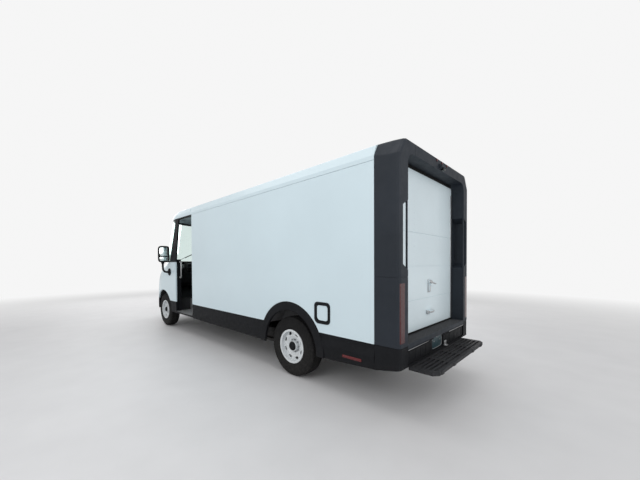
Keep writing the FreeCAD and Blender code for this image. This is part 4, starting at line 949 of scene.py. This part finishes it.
def cushion(middle, half, tilt, channels, crown=0.10, pull=0.035, power=5.0, cuts=26):
    """A stuffed form: crowned faces, sides pulled in between the corners, sewn channels on top.

    tilt turns it about X, and channels are (across, depth) pairs on its top face.
    """
    mesh = bmesh.new()
    bmesh.ops.create_cube(mesh, size=2.0)
    bmesh.ops.subdivide_edges(mesh, edges=list(mesh.edges), cuts=cuts, use_grid_fill=True)
    turn = Matrix.Rotation(tilt, 3, "X")
    for vert in mesh.verts:
        p = vert.co
        size = (abs(p.x) ** power + abs(p.y) ** power + abs(p.z) ** power) ** (1 / power)
        q = p / size
        q.x *= 1 - pull * (1 - q.y * q.y)
        q.y *= 1 - pull * (1 - q.x * q.x)
        puff = (1 - q.x ** 4) * (1 - q.y ** 4)
        lift = crown * puff if q.z > 0 else 0.0
        for across, depth in channels:
            groove = math.exp(-((q.x - across) / 0.035) ** 2) * depth
            ends = max(0.0, 1 - abs(q.y) ** 6)
            lift -= groove * ends * max(0.0, q.z)
        bolster = 0.16 * max(0.0, abs(q.x) - 0.66) / 0.34 * max(0.0, q.z) * (1 - q.x ** 8)
        q.z = q.z * (1 - crown) + lift + bolster * (1 - abs(q.y) ** 8) * 0.6
        vert.co = middle + turn @ Vector((q.x * half.x, q.y * half.y, q.z * half.z))
    shape = Shape().add([v.co.copy() for v in mesh.verts], [[v.index for v in f.verts] for f in mesh.faces])
    mesh.free()
    return shape


def piping(middle, half, tilt, level, radius=0.0042, count=96, power=5.0):
    """The corded seam round a cushion at that height of its half thickness."""
    turn = Matrix.Rotation(tilt, 3, "X")
    path = []
    for k in range(count):
        a = 2 * math.pi * k / count
        c, s = math.cos(a), math.sin(a)
        size = (abs(c) ** power + abs(s) ** power) ** (1 / power)
        x, y = 0.985 * c / size, 0.985 * s / size
        path.append(middle + turn @ Vector((x * half.x * (1 - 0.035 * (1 - y * y)),
                                            y * half.y * (1 - 0.035 * (1 - x * x)),
                                            level * half.z)))
    return Shape().tube(path, radius, 8, closed=True)


width = (seat_high.x - seat_low.x) / 2 - 0.010
parts = (
    ("seat_cushion", Vector((seat_x, -1.400, 1.078)), Vector((width, 0.235, 0.066)), math.radians(4),
     ((-0.42, 0.16), (0.42, 0.16)), 0.16),
    ("seat_back", Vector((seat_x, -1.105, 1.435)), Vector((width - 0.015, 0.285, 0.058)),
     math.radians(81),
     ((-0.45, 0.16), (0.45, 0.16)), 0.16),
    ("seat_headrest", Vector((seat_x, -1.045, 1.800)), Vector((width * 0.52, 0.092, 0.044)),
     math.radians(81), (), 0.20),
)
for name, middle, half, tilt, channels, crown in parts:
    extra = {"replaces": ["driver_seat"]} if name == "seat_cushion" else {}
    pad = cushion(middle, half, tilt, channels, crown).make(name, CLOTH, "van", "seat_cloth", sharp=80,
                                                            **extra)
    piping(middle, half, tilt, 0.30).make(f"{name}_piping", PIPING, "van")
base = Shape()
base.block((seat_x - 0.17, -1.585, 0.722), (seat_x + 0.17, -1.195, 0.770), 0.008)
base.block((seat_x - 0.145, -1.545, 0.765), (seat_x + 0.145, -1.235, 0.970), 0.030, 4)
base.block((seat_x - 0.20, -1.600, 0.965), (seat_x + 0.20, -1.185, 1.012), 0.014, 3)
for k in range(6):
    z = 0.79 + k * 0.028
    base.block((seat_x - 0.152, -1.552, z - 0.006), (seat_x + 0.152, -1.228, z + 0.006), 0.005, 2)
base.make("seat_base", CABIN, "van")
posts = Shape()
for dx in (-0.06, 0.06):
    posts.rod((seat_x + dx, -1.062, 1.66), (seat_x + dx, -1.050, 1.76), 0.006)
posts.make("headrest_posts", STEEL, "van")
belt = Shape()
ribbon = [(seat_x + 0.175, -1.02, 1.62), (seat_x + 0.178, -1.155, 1.59), (seat_x + 0.185, -1.185, 1.46),
          (seat_x + 0.200, -1.190, 1.28), (seat_x + 0.225, -1.200, 1.12), (seat_x + 0.240, -1.215, 1.04)]
belt.tube(ribbon, 0.021, 8, flatten=0.06)
belt.make("seat_belt", PIPING, "van")

CENTRE = Vector((0.400, -1.960, 1.385))
TILT = math.radians(35)
AXIS = Vector((0, math.cos(TILT), math.sin(TILT)))
ACROSS = Vector((1, 0, 0))
UP = AXIS.cross(ACROSS)
rim = Shape()
rim.tube([CENTRE + (ACROSS * math.cos(a) + UP * math.sin(a)) * 0.190 for a in [2 * math.pi * k / 72 for k in range(72)]],
         0.0150, 16, closed=True)
for degrees in (5, 175, 270):
    a = math.radians(degrees)
    way = ACROSS * math.cos(a) + UP * math.sin(a)
    rim.tube([CENTRE - AXIS * 0.030 + way * 0.04, CENTRE - AXIS * 0.026 + way * 0.09,
              CENTRE - AXIS * 0.012 + way * 0.14,
              CENTRE + way * 0.182], 0.019, 12, flatten=0.42)
rim.turned(CENTRE - AXIS * 0.060, AXIS, [(0, 0), (0, 0.050), (0.018, 0.058), (0.040, 0.062),
                                         (0.050, 0.054), (0.056, 0.030), (0.057, 0)], 40)
rim.make("steering_wheel_trim", CABIN, "helm", replaces=["steering_wheel"])

cluster = Shape()
tilt_back = Matrix.Rotation(math.radians(-32), 3, "X")
cluster.block((0.235, -2.352, 1.455), (0.565, -2.340, 1.565), 0.004, 2, turn=tilt_back)
cluster.block((-0.16, -2.372, 1.430), (0.10, -2.358, 1.590), 0.005, 2, turn=tilt_back)
cluster.make("displays", SCREEN, "van")
vents = Shape()
for x in (-0.78, -0.36, 0.16, 0.72):
    for k in range(5):
        z = 1.362 + 0.013 * k
        vents.block((x - 0.055, -2.362, z - 0.002), (x + 0.055, -2.340, z + 0.002), 0.001, 1)
    vents.tube([(x + 0.062 * math.copysign(abs(math.cos(a)) ** 0.4, math.cos(a)),
                 -2.345 - 0.010 * math.sin(a),
                 1.388 + 0.042 * math.copysign(abs(math.sin(a)) ** 0.4, math.sin(a)))
                for a in [2 * math.pi * k / 40 for k in range(40)]], 0.004, 8, closed=True)
vents.make("dash_vents", GLOSS_BLACK, "van")
stalks = Shape()
for side in (-1, 1):
    root = CENTRE - AXIS * 0.115
    stalks.tube([root, root + ACROSS * side * 0.07 + UP * 0.01, root + ACROSS * side * 0.145 + UP * 0.03],
                0.0075, 12)
    stalks.rod(root + ACROSS * side * 0.125 + UP * 0.023, root + ACROSS * side * 0.165 + UP * 0.037,
               0.0105)
stalks.make("column_stalks", GLOSS_BLACK, "van")
pedals = Shape()
for x, wide in ((0.47, 0.028), (0.34, 0.045)):
    pedals.block((x - wide, -2.56, 0.800), (x + wide, -2.545, 0.890), 0.005, 3,
                 turn=Matrix.Rotation(math.radians(28), 3, "X"))
    for k in range(4):
        z = 0.815 + 0.020 * k
        pedals.block((x - wide + 0.006, -2.548, z), (x + wide - 0.006, -2.538, z + 0.008), 0.002, 1,
                     turn=Matrix.Rotation(math.radians(28), 3, "X"))
    pedals.tube([(x, -2.555, 0.88), (x, -2.60, 0.96), (x, -2.66, 1.02)], 0.008, 10)
pedals.make("pedals", CABIN, "van")

for side_name, side in SIDES:
    tread = Shape()
    x0, x1 = sorted((side * 0.664, side * 1.040))
    tread.block((x0, -1.975, 0.4495), (x1, -1.030, 0.4530), 0.0012, 1)
    for row in range(9):
        for k in range(22):
            lean = 1 if (row + k) % 2 else -1
            cx = side * (0.690 + row * 0.040)
            cy = -1.955 + k * 0.042
            tread.block((cx - 0.011, cy - 0.0028, 0.4525), (cx + 0.011, cy + 0.0028, 0.4548), 0.0011, 1,
                        turn=Matrix.Rotation(math.radians(45 * lean), 3, "Z"))
    rx0, rx1 = sorted((side * 0.6602, side * 0.6635))
    tread.block((rx0, -1.975, 0.455), (rx1, -1.030, 0.716), 0.001, 1)
    for row in range(6):
        for k in range(22):
            lean = 1 if (row + k) % 2 else -1
            cz, cy = 0.480 + row * 0.040, -1.955 + k * 0.042
            cx = side * 0.6642
            tread.block((cx - 0.0012, cy - 0.011, cz - 0.0028), (cx + 0.0012, cy + 0.011, cz + 0.0028),
                        0.0008, 1,
                        turn=Matrix.Rotation(math.radians(45 * lean), 3, "X"))
    tread.make(f"entry_tread_{side_name}", BRUSHED, "van")

mat_ribs = Shape()
for k in range(30):
    x = -0.60 + 1.20 * k / 29
    mat_ribs.block((x - 0.006, -2.10, 0.7195), (x + 0.006, -1.06, 0.7235), 0.002, 1)
mat_ribs.make("cab_mat", SEAL, "van")

# ================================================================ stage, light and camera
def glow_backdrop(name, strength_seen, strength_lit):
    """A world that lights the van at one level and is seen by the camera at another."""
    world = bpy.data.worlds.new(name)
    world.use_nodes = True
    tree = world.node_tree
    path = tree.nodes.new("ShaderNodeLightPath")
    seen = math_node(tree, "MAXIMUM", path.outputs["Is Camera Ray"], path.outputs["Is Transmission Ray"])
    back = tree.nodes["Background"]
    back.inputs["Color"].default_value = (1.0, 1.0, 1.0, 1.0)
    link(tree, remap(tree, seen, 0.0, 1.0, strength_lit, strength_seen), back.inputs["Strength"])
    return world


scene = bpy.context.scene
scene.world = glow_backdrop("studio", 0.92, 0.60)

floor_mesh = bpy.data.meshes.new("studio_floor")
reach = 40.0
floor_mesh.from_pydata([(-reach, -reach, 0), (reach, -reach, 0), (reach, reach, 0), (-reach, reach, 0)],
                       [], [[0, 1, 2, 3]])
floor = bpy.data.objects.new("studio_floor", floor_mesh)
scene.collection.objects.link(floor)
floor_finish = bpy.data.materials.new("studio_floor")
floor_finish.use_nodes = True
tree = floor_finish.node_tree
shader = tree.nodes["Principled BSDF"]
coords = tree.nodes.new("ShaderNodeTexCoord").outputs["Object"]
link(tree, mixed(tree, remap(tree, noise(tree, coords, 2.0), 0.3, 0.7, 0.0, 1.0), (0.60, 0.60, 0.61),
                 (0.63, 0.63, 0.64)),
     shader.inputs["Base Color"])
shader.inputs["Roughness"].default_value = 0.6
far = tree.nodes.new("ShaderNodeVectorMath")
far.operation = "LENGTH"
link(tree, coords, far.inputs[0])
open_floor = tree.nodes.new("ShaderNodeEmission")
open_floor.inputs["Strength"].default_value = 0.92
blend = tree.nodes.new("ShaderNodeMixShader")
link(tree, remap(tree, far.outputs["Value"], 6.0, 15.0, 0.0, 1.0), blend.inputs["Fac"])
link(tree, shader.outputs["BSDF"], blend.inputs[1])
link(tree, open_floor.outputs["Emission"], blend.inputs[2])
link(tree, blend.outputs["Shader"], tree.nodes["Material Output"].inputs["Surface"])
floor_mesh.materials.append(floor_finish)


def area_light(name, place, target, size, power):
    data = bpy.data.lights.new(name, "AREA")
    data.shape = "RECTANGLE"
    data.size, data.size_y = size
    data.energy = power
    lamp = bpy.data.objects.new(name, data)
    scene.collection.objects.link(lamp)
    lamp.location = place
    lamp.rotation_euler = (Vector(target) - Vector(place)).to_track_quat("-Z", "Y").to_euler()


area_light("ceiling", (0, 0, 7.5), (0, 0, 0), (9.0, 12.0), 235)
area_light("left_key", (8.0, 3.0, 5.0), (0, 0.5, 1.2), (5.0, 5.0), 185)
area_light("rear_fill", (1.5, 11.0, 4.0), (0, 2.0, 1.2), (5.0, 4.0), 185)
area_light("right_fill", (-8.0, -1.0, 4.0), (0, 0, 1.2), (5.0, 4.0), 160)
area_light("front_fill", (0.0, -10.0, 4.0), (0, -2.0, 1.2), (5.0, 4.0), 160)

# The camera stands behind the vehicle's left rear corner, at a person's eye level
CAMERA = Vector((3.690, 4.840, 1.528))
YAW, PITCH, ROLL = 0.7577, -0.0165, 0.0064
FOCAL = 287.46 / 640 * 36.0
SHIFT = (0.0442, 0.0454)
forward = Vector((-math.sin(YAW) * math.cos(PITCH), -math.cos(YAW) * math.cos(PITCH), math.sin(PITCH)))
level_right = forward.cross(Vector((0, 0, 1))).normalized()
down = forward.cross(level_right)
right = level_right * math.cos(ROLL) + down * math.sin(ROLL)
upward = right.cross(forward)
camera_data = bpy.data.cameras.new("camera")
camera_data.sensor_width = 36.0
camera_data.lens = FOCAL
camera_data.shift_x, camera_data.shift_y = SHIFT
camera_data.clip_end = 200.0
camera = bpy.data.objects.new("camera", camera_data)
scene.collection.objects.link(camera)
camera.matrix_world = Matrix((
    (right.x, upward.x, -forward.x, CAMERA.x),
    (right.y, upward.y, -forward.y, CAMERA.y),
    (right.z, upward.z, -forward.z, CAMERA.z),
    (0, 0, 0, 1),
))
scene.camera = camera
scene.view_settings.view_transform = "Standard"
